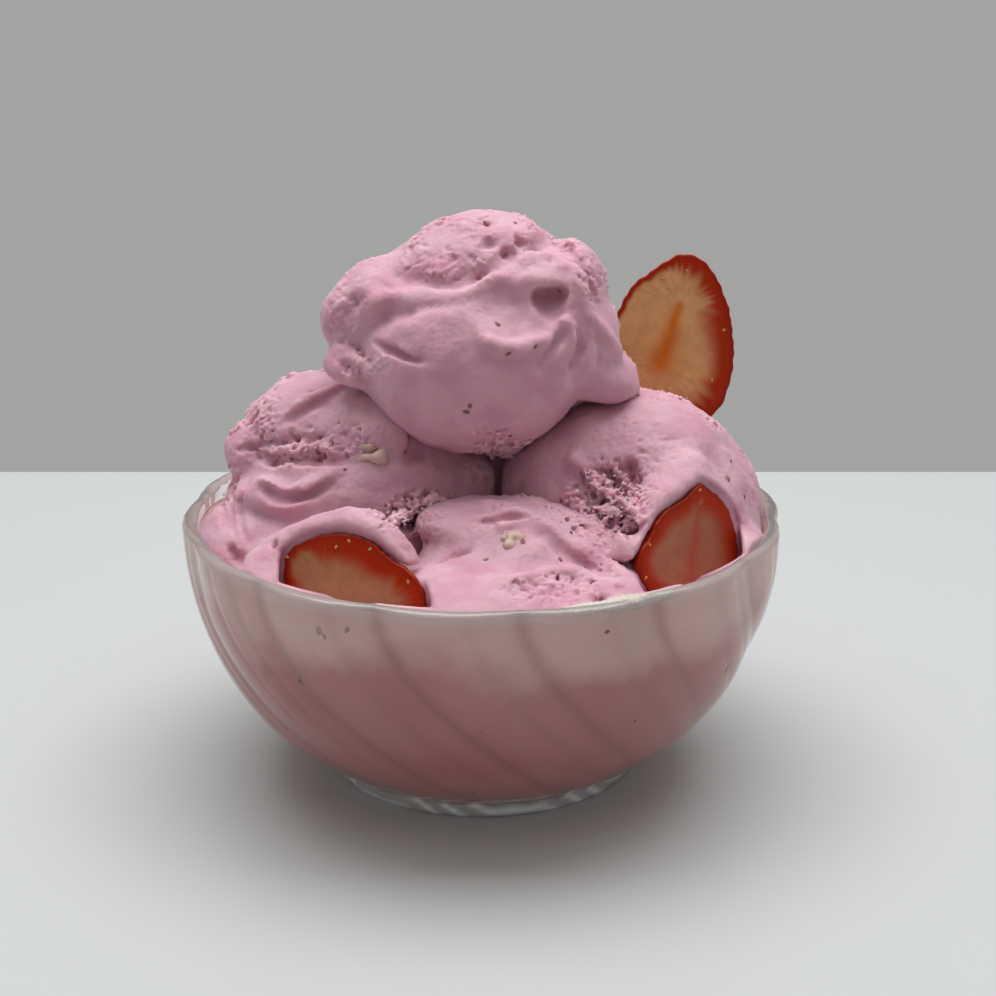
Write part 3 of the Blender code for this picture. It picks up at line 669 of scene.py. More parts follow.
    def mesh(self, name):
        """The surface as a mesh with how far it stands out and how rough it is."""
        grid = openvdb.FloatGrid(background=3.0)
        grid.copyFromArray(np.ascontiguousarray(self.field))
        grid.gridClass = openvdb.GridClass.LEVEL_SET
        points, quads = grid.convertToQuads(isovalue=0.0)
        points = points * VOXEL + self.low
        made = mesh_of(name, points, quads)
        set_values(made, "relief", self.sample(points, self.blurred(2.2)))
        set_values(made, "rough", self.sample(points, self.rough))
        return made


def mesh_of(name, points, faces):
    """A smooth mesh from points in millimetres and equal-sided faces."""
    points = np.asarray(points, np.float32) * MM
    faces = np.asarray(faces, np.int32)
    sides = faces.shape[1]
    mesh = bpy.data.meshes.new(name)
    mesh.vertices.add(len(points))
    mesh.vertices.foreach_set("co", points.ravel())
    mesh.loops.add(faces.size)
    mesh.loops.foreach_set("vertex_index", faces.ravel())
    mesh.polygons.add(len(faces))
    mesh.polygons.foreach_set("loop_start", np.arange(0, faces.size, sides, dtype=np.int32))
    mesh.update(calc_edges=True)
    mesh.shade_smooth()
    corners = points[faces]
    volume = np.einsum("ij,ij->i", corners[:, 0], np.cross(corners[:, 1], corners[:, 2])).sum()
    if volume < 0:
        mesh.flip_normals()
    return mesh


def set_values(mesh, name, values):
    """Stores one number for each vertex, for the material to read."""
    attribute = mesh.attributes.new(name, "FLOAT", "POINT")
    attribute.data.foreach_set("value", np.asarray(values, np.float32))


def add_piece(name, mesh, material, slot, *nodes):
    """Adds a mesh to the scene as a piece that rides on the sundae and stands for CAD nodes."""
    obj = bpy.data.objects.new(name, mesh)
    bpy.context.scene.collection.objects.link(obj)
    mesh.materials.append(material)
    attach(obj, "root")
    if nodes:
        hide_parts(*nodes)
    return obj


def scoop(node, low, high, lumps, strokes, patches, seed, shelves=(), slices=(), lip_over=None):
    """Sculpts one scoop in a box of clay and adds it as a piece."""
    clay = Clay(low, high)
    for centre, radii, tilt_y, tilt_z, soft in lumps:
        clay.field = soft_min(clay.field, clay.lump(centre, radii, tilt_y, tilt_z), soft)
    for centre, radii, upward, point in shelves:
        clay.shelf(centre, radii, upward, point)
    if lip_over:
        clay.lip(lip_over)
    for kind, radius, height, pixels in strokes:
        clay.stroke(kind, radius, height, pixels)
    clay.roughen(patches, seed)
    for name in slices:
        clay.press_round(name)
    clay.clip()
    add_piece("dressed_" + node, clay.mesh(node), ice_cream, "ice_cream", node)
    return clay


def ball(centre, radii, turn, wobble, seed):
    """Points and faces of a small uneven ball, flattened along the third row of turn."""
    rows, steps = 8, 12
    down = np.repeat(np.linspace(0, math.pi, rows + 1)[1:-1], steps)
    angle = np.tile(2 * math.pi * np.arange(steps) / steps, rows - 1)
    points = np.stack((np.sin(down) * np.cos(angle), np.sin(down) * np.sin(angle), np.cos(down)), axis=1)
    points = np.concatenate((points, [[0, 0, 1], [0, 0, -1]]))
    swell = np.sin(points @ np.array((2.1, 3.3, 1.7)) + seed)
    swell = swell + np.sin(points @ np.array((-4.1, 1.9, 3.1)) + 2 * seed)
    points = points * (1 + wobble * swell)[:, None] * np.array(radii)
    return points @ turn + np.array(centre), ring_faces(rows - 1, steps)


def facing(normal, spin):
    """Rows of a turned frame whose third row is the normal."""
    normal = np.asarray(normal) / np.linalg.norm(normal)
    side = np.cross(normal, (0.3, 0.5, 0.81))
    side /= np.linalg.norm(side)
    other = np.cross(normal, side)
    cosine, sine = math.cos(spin), math.sin(spin)
    return np.array((cosine * side + sine * other, cosine * other - sine * side, normal))


def ring_faces(rings, steps):
    """Triangles between rings of points, and to the two end points that follow the rings."""
    along = np.arange(steps)
    after = (along + 1) % steps
    faces = []
    for row in range(rings - 1):
        a, b = row * steps + along, row * steps + after
        faces += [np.stack((a, b, b + steps), axis=1), np.stack((a, b + steps, a + steps), axis=1)]
    last = (rings - 1) * steps
    faces.append(np.stack((np.full(steps, rings * steps), after, along), axis=1))
    faces.append(np.stack((np.full(steps, rings * steps + 1), last + along, last + after), axis=1))
    return np.concatenate(faces)


def joined(name, shapes):
    """One mesh of many small shapes."""
    points, faces, count = [], [], 0
    for shape_points, shape_faces in shapes:
        points.append(shape_points)
        faces.append(shape_faces + count)
        count += len(shape_points)
    return mesh_of(name, np.concatenate(points), np.concatenate(faces))


def body_radius(z, radius):
    """Radius at height z of the ball that the bowl's body follows, tucked in towards the foot."""
    z = np.asarray(z, float)
    tuck = TUCK * np.clip((TUCK_TOP - z) / TUCK_TOP, 0, 1) ** TUCK_POWER
    return np.sqrt(np.maximum(radius**2 - (z - BODY_CENTRE_Z) ** 2, 0.0)) - tuck


def inner_profile(outward, top, rows):
    """Radius and height of the bowl's inside from its floor to a height, moved outwards."""
    radius = BODY_RADIUS - WALL + outward
    floor = FLOOR_Z - outward
    corner = FLOOR_CORNER
    rise = CORNER_RISE
    corner_r = float(body_radius(floor + rise, radius))
    turn = np.linspace(0, 1, 8)
    points = [(r, floor) for r in np.linspace(2.0, corner_r - corner, 8)]
    points += [(corner_r - 0.9 * corner * (1 - t) ** 2, floor + rise * t**1.6) for t in turn[1:]]
    heights = np.linspace(floor + rise, top, rows)[1:]
    return points + [(float(body_radius(z, radius)), z) for z in heights]


def lobe_share(angle, z):
    """How far across its flute a place on the bowl is, from one notch to the next."""
    turn = angle - LOBE_PHASE - LOBE_TWIST * np.maximum(1.0 - z / BOWL_HEIGHT, 0) ** TWIST_POWER
    return (turn * LOBES / (2 * math.pi)) % 1.0


def lobe_height(angle, z):
    """How far the flutes stand out: 0 in a notch, near 1 on a crest, with two fine lines on each."""
    share = lobe_share(angle, z)
    height = np.abs(np.sin(math.pi * share))
    for line in (0.46, 0.78):
        height = height - 0.16 * np.exp(-(((share - line) / 0.035) ** 2))
    return height


def turned(name, profile, steps, shape_row=None):
    """A closed mesh turned about Z from radius and height rows, from one pole to the other."""
    angles = 2 * math.pi * np.arange(steps) / steps
    rings = []
    for index, (radius, z) in enumerate(profile):
        radii = np.full(steps, float(radius))
        heights = np.full(steps, float(z))
        if shape_row is not None:
            radii, heights = shape_row(index, radii, heights, angles)
        rings.append(np.stack((radii * np.cos(angles), radii * np.sin(angles), heights), axis=1))
    points = np.concatenate(rings + [[[0, 0, rings[0][:, 2].mean()]], [[0, 0, rings[-1][:, 2].mean()]]])
    return mesh_of(name, points, ring_faces(len(rings), steps))


def glass_mesh():
    """The fluted bowl with its rounded rim and its foot ring."""
    inside = inner_profile(0.0, BOWL_HEIGHT - RIM_ROUND, 36)
    heights = np.linspace(BOWL_HEIGHT - RIM_ROUND, FOOT_HEIGHT + 1.2, 60)
    flare = (RIM_RADIUS - BODY_RADIUS) * (heights / heights[0]) ** 4
    outside = list(zip(body_radius(heights, BODY_RADIUS) + flare, heights))
    inner, outer = inside[-1][0], outside[0][0]
    arc = np.linspace(0, math.pi, 9)[1:-1]
    middle, half = (inner + outer) / 2, (outer - inner) / 2
    rim = [(middle - half * math.cos(t), heights[0] + RIM_ROUND * math.sin(t)) for t in arc]
    foot = [
        (FOOT_RADIUS + 0.4, FOOT_HEIGHT + 0.3), (FOOT_RADIUS + 0.2, FOOT_HEIGHT - 0.8),
        (FOOT_RADIUS, 1.6), (FOOT_RADIUS - 0.25, 0.5), (FOOT_RADIUS - 0.9, 0.0),
        (FOOT_INNER_RADIUS + 1.0, 0.0), (FOOT_INNER_RADIUS + 0.3, 0.4),
        (FOOT_INNER_RADIUS - 0.8, FOOT_RECESS), (FOOT_INNER_RADIUS - 4, FOOT_RECESS),
        (10.0, FOOT_RECESS), (2.0, FOOT_RECESS),
    ]
    first_outside = len(inside) + len(rim)

    def shape_row(index, radii, heights, angles):
        z = heights[0]
        height = lobe_height(angles, min(z, BOWL_HEIGHT))
        if first_outside <= index < first_outside + len(outside):
            share = min(max((z - FOOT_HEIGHT) / LOBE_RUN_OUT, 0.0), 1.0)
            near_rim = min(max((z - 40.0) / 10.0, 0.0), 1.0)
            depth = LOBE_BODY_DEPTH + (LOBE_DEPTH - LOBE_BODY_DEPTH) * near_rim
            radii = radii + depth * share * (height - 1.0) - INSIDE_BOX
        elif len(inside) <= index < first_outside:
            share = (index - len(inside) + 1) / (len(rim) + 1)
            radii = radii + LOBE_DEPTH * share * (height - 1.0) - INSIDE_BOX * share
        elif index >= first_outside + len(outside):
            radii = radii + 0.35 * np.sin(23 * angles + 2 * np.sin(5 * angles)) * min(z / 2.0, 1.0)
        return radii, heights

    made = turned("glass_bowl", inside + rim + outside + foot, LOBES * LOBE_STEPS, shape_row)
    heights = np.array([vertex.co.z for vertex in made.vertices]) / MM
    angles = np.array([math.atan2(vertex.co.y, vertex.co.x) for vertex in made.vertices])
    # Painted light: the foot is made white, in bright streaks, for the floor's light seen through the clear
    # foot and for its highlights; near the rim the glass is made a little whiter
    shine = 0.5 + 0.5 * np.sin(19 * angles + 3 * np.sin(7 * angles) + 1.5 * heights)
    foot = np.clip((FOOT_HEIGHT + 0.2 - heights) / 0.8, 0, 1) * (2.6 + 3.2 * shine**3)
    set_values(made, "painted_foot_light_and_rim_white", foot + np.clip((heights - 50.5) / 2.0, 0, 1))
    return made


def melt_mesh(clays):
    """The melted ice cream, reaching a little into the glass, which coats it up to the rim in front."""
    steps = LOBES * LOBE_STEPS
    reach = BODY_RADIUS - WALL + MELT_REACH
    side = inner_profile(MELT_REACH, COAT_TOP, 46)
    top_radius = side[-1][0]
    top = [(top_radius * share, MELT_LEVEL) for share in np.linspace(1.0, 0.03, 90)[1:]]

    def shape_row(index, radii, heights, angles):
        front = 0.5 - 0.5 * np.sin(angles)
        ragged = 0.06 * np.sin(5 * angles) + 0.05 * np.sin(11 * angles)
        coat = np.clip(1.7 * front - 0.2 + ragged, 0.25, 1.0)
        if index < len(side):
            above = np.maximum(heights - MELT_LEVEL, 0.0)
            heights = heights - above * (1 - coat)
            return np.where(above > 0, body_radius(heights, reach + COAT_REACH), radii), heights
        x, y = radii * np.cos(angles), radii * np.sin(angles)
        points = np.stack((x, y, np.full(steps, MELT_LEVEL + 1.8)), axis=1)
        near = np.full(steps, 30.0)
        for clay in clays:
            high = clay.low + np.array(clay.shape) * VOXEL
            far = np.any((points < clay.low - 2) | (points > high + 2), axis=1)
            near = np.minimum(near, np.where(far, 30.0, clay.sample(points)))
        edge = np.clip((top_radius - radii[0]) / 1.6, 0, 6)
        wave = 0.35 * np.sin(3 * angles + 1.2) + 0.3 * np.sin(0.21 * x + 1) * np.cos(0.17 * y)
        at_glass = (COAT_TOP - MELT_LEVEL) * coat * np.exp(-2.0 * edge)
        at_scoops = 1.3 * np.exp(-np.clip(near, 0, 30) / 1.6)
        return radii, heights + wave * min(edge, 1.0) + (at_glass + at_scoops)

    made = turned("melted_ice_cream", side + top, steps, shape_row)
    points = np.array([vertex.co for vertex in made.vertices]) / MM
    share = lobe_share(np.arctan2(points[:, 1], points[:, 0]), np.minimum(points[:, 2], BOWL_HEIGHT))
    # Painted shade: dark lines on the melt along the flute notches, and a fainter one across each flute,
    # stored as line
    from_notch = np.minimum(share, 1 - share) / NOTCH_SHADE_WIDTH
    along_line = np.clip((points[:, 2] - FLOOR_Z) / 6.0, 0, 1)
    line = along_line * (np.exp(-(from_notch**2)) + 0.4 * np.exp(-(((share - 0.62) / NOTCH_SHADE_WIDTH) ** 2)))
    on_glass = np.arange(len(points)) < len(side) * steps
    set_values(made, "line", line * on_glass)
    set_values(made, "coat", on_glass)
    return made


class Shader:
    """Short ways to build a node material."""

    def __init__(self, name):
        self.material = bpy.data.materials.new(name)
        self.material.use_nodes = True
        self.tree = self.material.node_tree
        self.surface = self.tree.nodes["Principled BSDF"]

    def node(self, kind, **inputs):
        made = self.tree.nodes.new(kind)
        for name, value in inputs.items():
            self.put(made, name.replace("_", " "), value)
        return made

    def put(self, node, name, value):
        socket = node.inputs[int(name)] if name.isdigit() else node.inputs[name]
        if isinstance(value, bpy.types.NodeSocket):
            self.tree.links.new(value, socket)
        elif isinstance(value, tuple) and len(value) == 3 and socket.type == "RGBA":
            socket.default_value = (*value, 1.0)
        else:
            socket.default_value = value

    def attribute(self, name):
        made = self.tree.nodes.new("ShaderNodeAttribute")
        made.attribute_name = name
        return made.outputs["Fac"]

    def noise(self, scale, detail=3.0, roughness=0.5):
        place = self.tree.nodes.new("ShaderNodeTexCoord").outputs["Object"]
        made = self.node("ShaderNodeTexNoise", Vector=place, Scale=scale, Detail=detail)
        self.put(made, "Roughness", roughness)
        return made.outputs["Fac"]

    def ramp(self, value, low, high):
        made = self.node("ShaderNodeMapRange", Value=value)
        made.interpolation_type = "SMOOTHSTEP"
        self.put(made, "From Min", low)
        self.put(made, "From Max", high)
        return made.outputs["Result"]

    def mix(self, share, first, second):
        made = self.tree.nodes.new("ShaderNodeMix")
        made.data_type = "RGBA"
        self.put(made, "Factor", share)
        for socket, value in ((made.inputs[6], first), (made.inputs[7], second)):
            if isinstance(value, bpy.types.NodeSocket):
                self.tree.links.new(value, socket)
            else:
                socket.default_value = (*value, 1.0)
        return made.outputs[2]

    def maths(self, operation, first, second):
        made = self.tree.nodes.new("ShaderNodeMath")
        made.operation = operation
        self.put(made, "0", first)
        self.put(made, "1", second)
        return made.outputs[0]

    def bump(self, height, distance, strength=1.0):
        made = self.node("ShaderNodeBump", Height=height, Strength=strength, Distance=distance)
        self.put(self.surface, "Normal", made.outputs["Normal"])

    def finish(self, **inputs):
        for name, value in inputs.items():
            self.put(self.surface, name.replace("_", " "), value)
        return self.material


def ice_cream_material():
    shader = Shader("ice_cream")
    relief = shader.attribute("relief")
    rough = shader.attribute("rough")
    cloud = shader.ramp(shader.noise(130.0, 2.0), 0.35, 0.7)
    colour = shader.mix(cloud, *ICE_CREAM)
    # Painted shade: hollows in the relief are darkened towards a deep pink
    painted_shade_in_hollows = shader.ramp(relief, -0.25, -1.4)
    colour = shader.mix(painted_shade_in_hollows, colour, ICE_CREAM_PAINTED_SHADE)
    # Crests are made paler, partly as paler ice cream and partly as a painted highlight
    high = shader.ramp(relief, 0.35, 0.9)
    colour = shader.mix(shader.maths("MULTIPLY", high, 0.5), colour, ICE_CREAM_CREST_AND_HIGHLIGHT)
    grain = shader.noise(1500.0, 4.0, 0.6)
    shader.bump(grain, 0.0003, 0.35)
    gloss = shader.ramp(shader.noise(220.0, 2.0), 0.35, 0.75)
    gloss = shader.maths("MULTIPLY_ADD", gloss, 0.22)
    duller = shader.maths("MULTIPLY", shader.ramp(rough, 0.1, 0.8), 0.15)
    return shader.finish(
        Base_Color=colour, Roughness=shader.maths("ADD", gloss, duller), Subsurface_Weight=1.0,
        Subsurface_Scale=0.0013, Subsurface_Radius=(1.0, 0.62, 0.58), IOR=CREAM_IOR,
    )


def melt_material():
    shader = Shader("melt")
    place = shader.tree.nodes.new("ShaderNodeTexCoord").outputs["Object"]
    height = shader.node("ShaderNodeSeparateXYZ", Vector=place).outputs["Z"]
    uneven = shader.maths("MULTIPLY", shader.maths("SUBTRACT", shader.noise(45.0, 3.0), 0.5), 0.022)
    near_top = shader.ramp(shader.maths("ADD", height, uneven), 0.037, 0.046)
    cloud = shader.ramp(shader.noise(60.0, 3.0), 0.3, 0.7)
    colour = shader.mix(cloud, *MELT)
    # The coat on the glass is paler, partly its own colour and partly painted light
    paler = shader.mix(shader.attribute("coat"), MELT_TOP, MELT_COAT_WITH_PAINTED_LIGHT)
    colour = shader.mix(near_top, colour, paler)
    colour = shader.mix(shader.ramp(height, 0.020, 0.008), colour, MELT_FOOT)
    # Painted shade along the glass's flute notches
    line = shader.maths("MULTIPLY", shader.attribute("line"), 0.38)
    colour = shader.mix(line, colour, MELT_NOTCH_SHADE)
    return shader.finish(Base_Color=colour, Roughness=0.25, IOR=CREAM_IOR)


def glass_material():
    shader = Shader("glass")
    # Painted light at the foot: where the attribute is high the glass turns to a white diffuse colour,
    # darkened in noise streaks
    painted_foot_light_and_rim_white = shader.attribute("painted_foot_light_and_rim_white")
    clear = shader.maths("SUBTRACT", 1.0, shader.maths("MULTIPLY", painted_foot_light_and_rim_white, 0.19))
    streaks = shader.ramp(shader.noise(90.0, 3.0), 0.4, 0.65)
    colour = shader.mix(shader.maths("MULTIPLY", streaks, 0.3), *GLASS)
    return shader.finish(Base_Color=colour, Roughness=0.03, Transmission_Weight=clear, IOR=GLASS_IOR)


def tinted_material(name, roughness, scatter):
    """Takes its colour from the mesh's own tint, made uneven by noise."""
    shader = Shader(name)
    tint = shader.tree.nodes.new("ShaderNodeAttribute")
    tint.attribute_name = "tint"
    uneven = shader.ramp(shader.noise(400.0, 3.0), 0.3, 0.75)
    colour = shader.mix(shader.maths("MULTIPLY", uneven, 0.2), tint.outputs["Color"], SLICE_SPOT)
    shader.bump(shader.noise(900.0, 2.0), 0.0002, 0.3)
    return shader.finish(
        Base_Color=colour, Roughness=roughness, Subsurface_Weight=0.5, Subsurface_Scale=scatter,
        Subsurface_Radius=(1.0, 0.35, 0.15), IOR=STRAWBERRY_IOR, Specular_IOR_Level=0.3,
    )


def plain_material(name, colour, roughness):
    shader = Shader(name)
    tone = shader.mix(shader.noise(3.0, 2.0), colour, tuple(c * 0.98 for c in colour))
    return shader.finish(Base_Color=tone, Roughness=roughness)


def spotted_material(name, dark, pale, scale, roughness):
    shader = Shader(name)
    tone = shader.mix(shader.ramp(shader.noise(scale, 2.0), 0.35, 0.65), dark, pale)
    return shader.finish(
        Base_Color=tone, Roughness=roughness, Subsurface_Weight=0.3, Subsurface_Scale=0.001,
    )


ice_cream = ice_cream_material()
melt = melt_material()
glass = glass_material()
strawberry = tinted_material("strawberry", 0.22, 0.0015)
fruit = spotted_material("fruit", *FRUIT, 600.0, 0.35)
seeds = spotted_material("seeds", *SEED, 700.0, 0.4)
pips = spotted_material("pips", *PIP, 700.0, 0.4)
cream = spotted_material("cream", *CREAM, 300.0, 0.25)

top = scoop(
    "scoop_top", (-38, -30, 60), (38, 30, 117), TOP_LUMPS, TOP_STROKES, TOP_PATCHES, 1, shelves=TOP_SHELVES
)
left = scoop(
    "scoop_left", (-60, -52, 38), (8, 36, 84), LEFT_LUMPS, LEFT_STROKES, LEFT_PATCHES, 2,
    slices=(LEFT_SLICE,), lip_over=LEFT_SLICE,
)
right = scoop(
    "scoop_right", (0, -38, 38), (60, 34, 82), RIGHT_LUMPS, RIGHT_STROKES, RIGHT_PATCHES, 3,
    slices=(RIGHT_SLICE,), lip_over=RIGHT_SLICE,
)
front = scoop(
    "scoop_front", (-24, -60, 38), (44, 6, 68), FRONT_LUMPS, FRONT_STROKES, FRONT_PATCHES, 4,
    slices=(LEFT_SLICE, RIGHT_SLICE),
)
back = scoop("scoop_back", (-34, -4, 38), (34, 58, 82), BACK_LUMPS, (), (), 5)
add_piece("dressed_bowl", glass_mesh(), glass, "glass", "glass_bowl")
add_piece("dressed_melt", melt_mesh((left, right, front, back)), melt, "melt", "melted_ice_cream")


def slice_rim(name, steps):
    """The slice's outline at even angles about its middle."""
    corners = on_slice(name, SLICE_OUTLINES[name][3])
    middle = corners.mean(0)
    closed = np.concatenate((corners[-2:], corners, corners[:2]))
    curve = smooth_path(closed, 0.3) - middle
    angles = np.unwrap(np.arctan2(curve[:, 0], curve[:, 1]))
    if angles[-1] < angles[0]:
        angles, curve = angles[::-1], curve[::-1]
    wanted = angles[0] + 0.3 + 2 * math.pi * np.arange(steps) / steps
    reach = np.interp(wanted, angles, np.hypot(curve[:, 0], curve[:, 1]))
    return middle, np.stack((reach * np.sin(wanted), reach * np.cos(wanted)), axis=1)


def slice_colours(flat, inside, name, shift):
    """Colours of a cut face, from places on it and how far inside the skin they are."""
    red_reach, to_right, flesh, streak_colour, streak_share, ends = SLICE_LOOKS[name]
    first, second = on_slice(name, ends)
    along = second - first
    share = np.clip(((flat - first) @ along) / (along @ along), 0, 1)
    gap = flat - (first + share[:, None] * along)
    from_streak = np.hypot(gap[:, 0], gap[:, 1])
    direction = np.arctan2(gap[:, 0], gap[:, 1])
    fibres = np.sin(26 * direction + 3 * np.sin(5 * direction + shift)) * np.clip(from_streak / 8.0, 0, 1)
    wander = 1.0 + 0.22 * np.sin(3 * direction + shift) + 0.12 * np.sin(7 * direction + 2 * shift)
    wander = wander * (1.0 + to_right * np.sin(direction))
    red = np.clip(1.35 * (1.0 - inside / (red_reach * wander)) + 0.15 * fibres, 0, 1)
    red = red * red * (3 - 2 * red)
    streak = np.exp(-((from_streak / (0.8 + 2.0 * share)) ** 2)) * streak_share
    pale = np.array(flesh) * (1.0 + 0.10 * fibres)[:, None]
    colour = pale + streak[:, None] * (np.array(streak_colour) - pale)
    colour = colour + red[:, None] * (np.array(SLICE_RED) - colour)
    skin = np.exp(-((inside / 0.7) ** 2))
    return colour + 0.75 * skin[:, None] * (np.array(SLICE_SKIN) - colour)


def slice_mesh(name, shift):
    """A strawberry slice with softened edges and the colours of its cut faces."""
    thickness, centre, turns, _ = SLICE_OUTLINES[name]
    steps, rows = 260, 34
    middle, rim = slice_rim(name, steps)
    around = np.arange(steps) * 2 * math.pi / steps
    rim = rim * (1.0 + 0.006 * np.sin(31 * around + shift) + 0.005 * np.sin(17 * around))[:, None]
    reach = np.hypot(rim[:, 0], rim[:, 1])
    shrink = (1 - SLICE_EDGE_ROUND / reach)[:, None]
    rings, colours = [], []

    def ring(flat, depth, inside):
        rings.append(np.column_stack((flat + middle, np.full(steps, depth))))
        colours.append(slice_colours(flat + middle, inside, name, shift))

    shares = np.linspace(0.02, 1.0, rows)
    for share in shares:
        ripple = 0.10 * np.sin(9 * share + 2 * np.sin(3 * share + shift))
        ring(rim * shrink * share, thickness / 2 + ripple * (1 - share), reach * (1 - share))
    for turn in np.linspace(0, math.pi, 9)[1:-1]:
        flat = rim * (shrink + (1 - shrink) * math.sin(turn))
        narrower = SLICE_BACK_WIDTH + (1 - SLICE_BACK_WIDTH) * (1 + math.cos(turn)) / 2
        ring(flat * narrower, (thickness / 2) * math.cos(turn), np.zeros(steps))
    for share in shares[::-1]:
        ring(rim * shrink * share * SLICE_BACK_WIDTH, -thickness / 2, reach * (1 - share))
    points = np.concatenate(rings + [[[*middle, thickness / 2]], [[*middle, -thickness / 2]]])
    colours = np.concatenate(colours + [colours[0][:1], colours[-1][:1]])
    points = points @ slice_frame(turns) + np.array(centre)
    made = mesh_of(name, points, ring_faces(len(rings), steps))
    tint = made.attributes.new("tint", "FLOAT_COLOR", "POINT")
    tint.data.foreach_set("color", np.column_stack((np.clip(colours, 0, 1), np.ones(len(colours)))).ravel())
    return made


for number, name in enumerate(SLICE_OUTLINES):
    add_piece("dressed_" + name, slice_mesh(name, 1.0 + number), strawberry, "strawberry", name)


# Bits of fruit, seeds and the cream on the rim
def specks_on(clay, pixels, seed):
    """Small dark bits half sunk in a scoop, where the photo shows them and a few all round."""
    random = np.random.default_rng(seed)
    places = list(clay.cast(pixels)) if pixels else []
    centre = clay.low + np.array(clay.shape) * VOXEL / 2
    while len(places) < len(pixels) + 2:
        direction = random.normal(size=3)
        direction[1] = abs(direction[1]) * (1 if random.random() < 0.8 else -1)
        direction /= np.linalg.norm(direction)
        line = centre + np.arange(34.0, 6.0, -0.4)[:, None] * direction
        inside = np.nonzero(clay.sample(line) < 0)[0]
        if len(inside) and line[inside[0]][2] > 54.0:
            places.append(line[inside[0]])
    made = []
    for place in places:
        normal = clay.normals(place[None])[0]
        long = random.uniform(0.35, 0.7)
        radii = (long, long * random.uniform(0.5, 0.8), 0.22)
        made.append(ball(place, radii, facing(normal, random.uniform(0, 6)), 0.1, random.uniform(0, 6)))
    return made


def chunks_on(clay, chunks):
    """Pieces of fruit that lie sunk in a scoop."""
    made = []
    for pixel, radii in chunks:
        place = clay.cast([pixel])
        normal = clay.normals(place)[0]
        made.append(ball(place[0] - 0.55 * radii[2] * normal, radii, facing(normal, 0.6), 0.22, pixel[0]))
    return made


def bits_in_melt(bits):
    """Bits of fruit that lie against the inside of the glass."""
    made = []
    travel = np.arange(300.0, 460.0, 0.25)
    for (across, down), size in bits:
        line = np.array(CAMERA) + travel[:, None] * ray(across, down)
        depth = np.hypot(line[:, 0], line[:, 1]) - body_radius(line[:, 2], BODY_RADIUS - WALL)
        inside = np.nonzero((depth < 0) & (line[:, 2] < BOWL_HEIGHT))[0]
        place = line[inside[0] if len(inside) else int(np.argmin(depth))]
        normal = np.array((place[0], place[1], place[2] - BODY_CENTRE_Z))
        made.append(ball(place, (size * 0.55, size * 0.35, 0.3), facing(normal, across), 0.2, down))
    return made


def seeds_on_slices():
    """The slices' own seeds, half sunk in their cut faces."""
    made = []
    for name, pixels in SLICE_SEEDS.items():
        thickness, centre, turns, _ = SLICE_OUTLINES[name]
        axes = slice_frame(turns)
        for index, (across, up) in enumerate(on_slice(name, pixels)):
            place = np.array(centre) + across * axes[0] + up * axes[1] + thickness / 2 * axes[2]
            made.append(ball(place, (0.42, 0.28, 0.16), facing(axes[2], 1.3 * index), 0.05, index))
    return made


specks = specks_on(top, TOP_SPECKS, 11) + specks_on(left, LEFT_SPECKS, 12)
specks += specks_on(right, RIGHT_SPECKS, 13) + specks_on(front, FRONT_SPECKS, 14) + specks_on(back, (), 15)
chunks = chunks_on(left, LEFT_CHUNKS) + chunks_on(front, FRONT_CHUNKS)
for name, shapes, material in (
    ("fruit_specks", specks, seeds),
    ("fruit_chunks", chunks, fruit),
    ("slice_seeds", seeds_on_slices(), pips),
    ("fruit_in_melt", bits_in_melt(MELT_SPECKS), seeds),
    ("chunks_in_melt", bits_in_melt(MELT_CHUNKS), fruit),
):
    add_piece(name, joined(name, shapes), material, "strawberry")


def cream_on_rim():
    """Melted cream that has run up onto the rim."""
    path = []
    for across, down in CREAM_PIXELS:
        direction = ray(across, down)
        place = np.array(CAMERA) + direction * ((BOWL_HEIGHT - 0.6 - CAMERA[2]) / direction[2])
        x, y = place[:2] * CREAM_RADIUS / np.hypot(place[0], place[1])
        path.append((x, y, BOWL_HEIGHT - 0.9))
    path = smooth_path(path, 1.0)
    share = np.linspace(0, 1, len(path))
    radii = 0.5 + 1.3 * np.sin(math.pi * share) ** 0.7 * (0.8 + 0.2 * np.sin(14 * share))
    blobs = enumerate(zip(path, radii))
    return [ball(p, (r * 1.3, r, r * 0.8), np.eye(3), 0.05, index) for index, (p, r) in blobs]


add_piece("cream_on_rim", joined("cream_on_rim", cream_on_rim()), cream, "ice_cream")


# Floor, light and camera
FLOOR_SIDE = 900.0
FLOOR_FRONT = -600.0
FLOOR_BACK = 194.0

# The light's place, target and size are in metres
WINDOW_PLACE = (0.0, 0.10, 0.75)
WINDOW_TARGET = (0.0, 0.02, 0.05)
WINDOW_SIZE = (0.9, 0.50)
WINDOW_ENERGY = 5.6

floor_corners = (
    (-FLOOR_SIDE, FLOOR_FRONT), (FLOOR_SIDE, FLOOR_FRONT),
    (FLOOR_SIDE, FLOOR_BACK), (-FLOOR_SIDE, FLOOR_BACK),
)
floor_mesh = bpy.data.meshes.new("floor")
floor_mesh.from_pydata([(x * MM, y * MM, 0.0) for x, y in floor_corners], [], [(0, 1, 2, 3)])
floor_mesh.materials.append(plain_material("floor", FLOOR, 0.35))
floor = bpy.data.objects.new("floor", floor_mesh)
bpy.context.scene.collection.objects.link(floor)

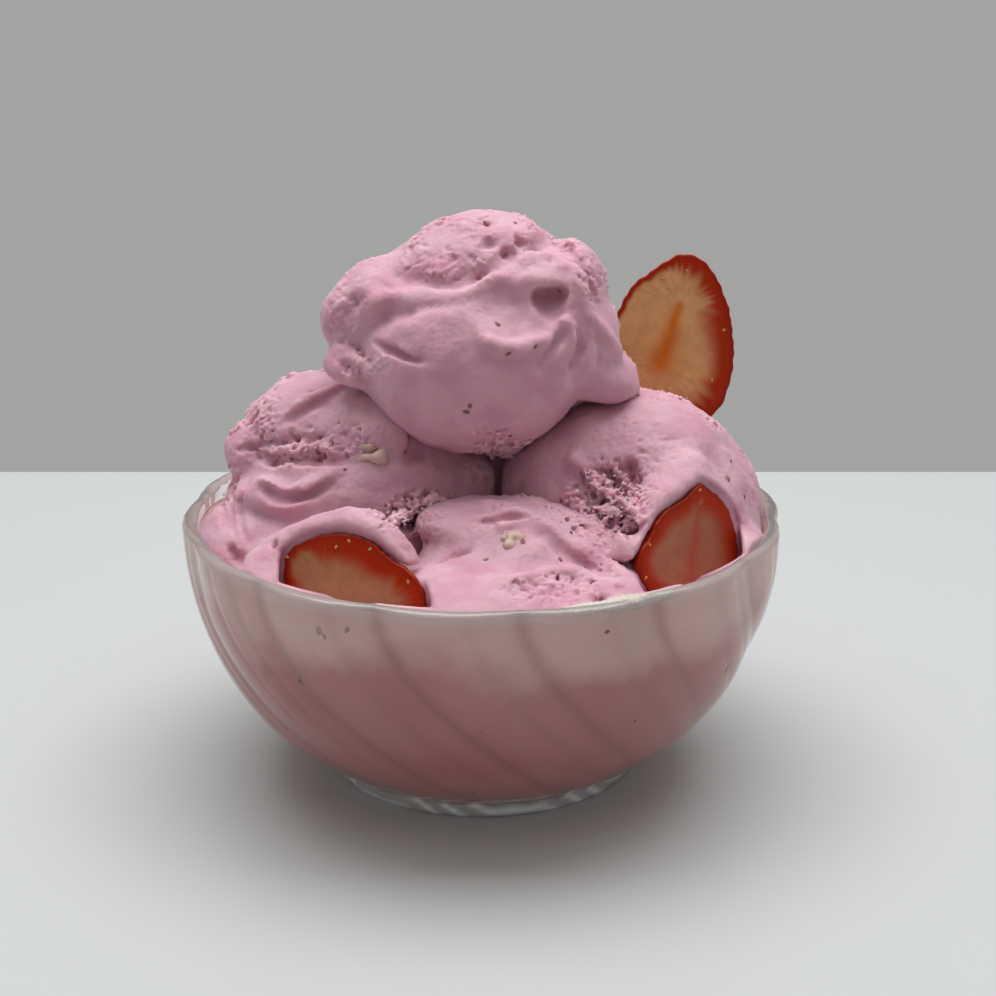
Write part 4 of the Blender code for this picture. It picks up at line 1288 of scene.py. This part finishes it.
light = bpy.data.lights.new("window", "AREA")
light.shape = "RECTANGLE"
light.size, light.size_y = WINDOW_SIZE
light.energy = WINDOW_ENERGY
window = bpy.data.objects.new("window", light)
window.location = WINDOW_PLACE
towards = Vector(WINDOW_TARGET) - Vector(WINDOW_PLACE)
window.rotation_euler = towards.to_track_quat("-Z", "Y").to_euler()
bpy.context.scene.collection.objects.link(window)

# The room: pale below the horizon, where it stands behind the floor, and brightest overhead
BACKDROP = 0.41
SIDE_LIGHT = 0.14
OVERHEAD_LIGHT = 0.64
world = bpy.data.worlds.new("room")
bpy.context.scene.world = world
world.use_nodes = True
background = world.node_tree.nodes["Background"]
background.inputs["Color"].default_value = ROOM
place = world.node_tree.nodes.new("ShaderNodeTexCoord")
part = world.node_tree.nodes.new("ShaderNodeSeparateXYZ")
world.node_tree.links.new(place.outputs["Generated"], part.inputs["Vector"])


def graded(low, high, at_low, at_high):
    """A brightness that runs between two values as the direction's height does."""
    made = world.node_tree.nodes.new("ShaderNodeMapRange")
    for name, value in (("From Min", low), ("From Max", high), ("To Min", at_low), ("To Max", at_high)):
        made.inputs[name].default_value = value
    world.node_tree.links.new(part.outputs["Z"], made.inputs["Value"])
    return made.outputs["Result"]


brightest = world.node_tree.nodes.new("ShaderNodeMath")
brightest.operation = "MAXIMUM"
world.node_tree.links.new(graded(0.0, 0.1, BACKDROP, 0.0), brightest.inputs[0])
world.node_tree.links.new(graded(-0.1, 1.0, SIDE_LIGHT, OVERHEAD_LIGHT), brightest.inputs[1])
world.node_tree.links.new(brightest.outputs[0], background.inputs["Strength"])

camera = bpy.data.cameras.new("camera")
camera.sensor_width = SENSOR
camera.lens = FOCAL_PX * SENSOR / FRAME_PX
camera.clip_start = 0.01
camera.clip_end = 20.0
camera_object = bpy.data.objects.new("camera", camera)
camera_object.location = Vector(CAMERA) * MM
camera_object.rotation_euler = (math.pi / 2 - PITCH, 0.0, 0.0)
bpy.context.scene.collection.objects.link(camera_object)
bpy.context.scene.camera = camera_object
bpy.context.scene.view_settings.view_transform = "Standard"
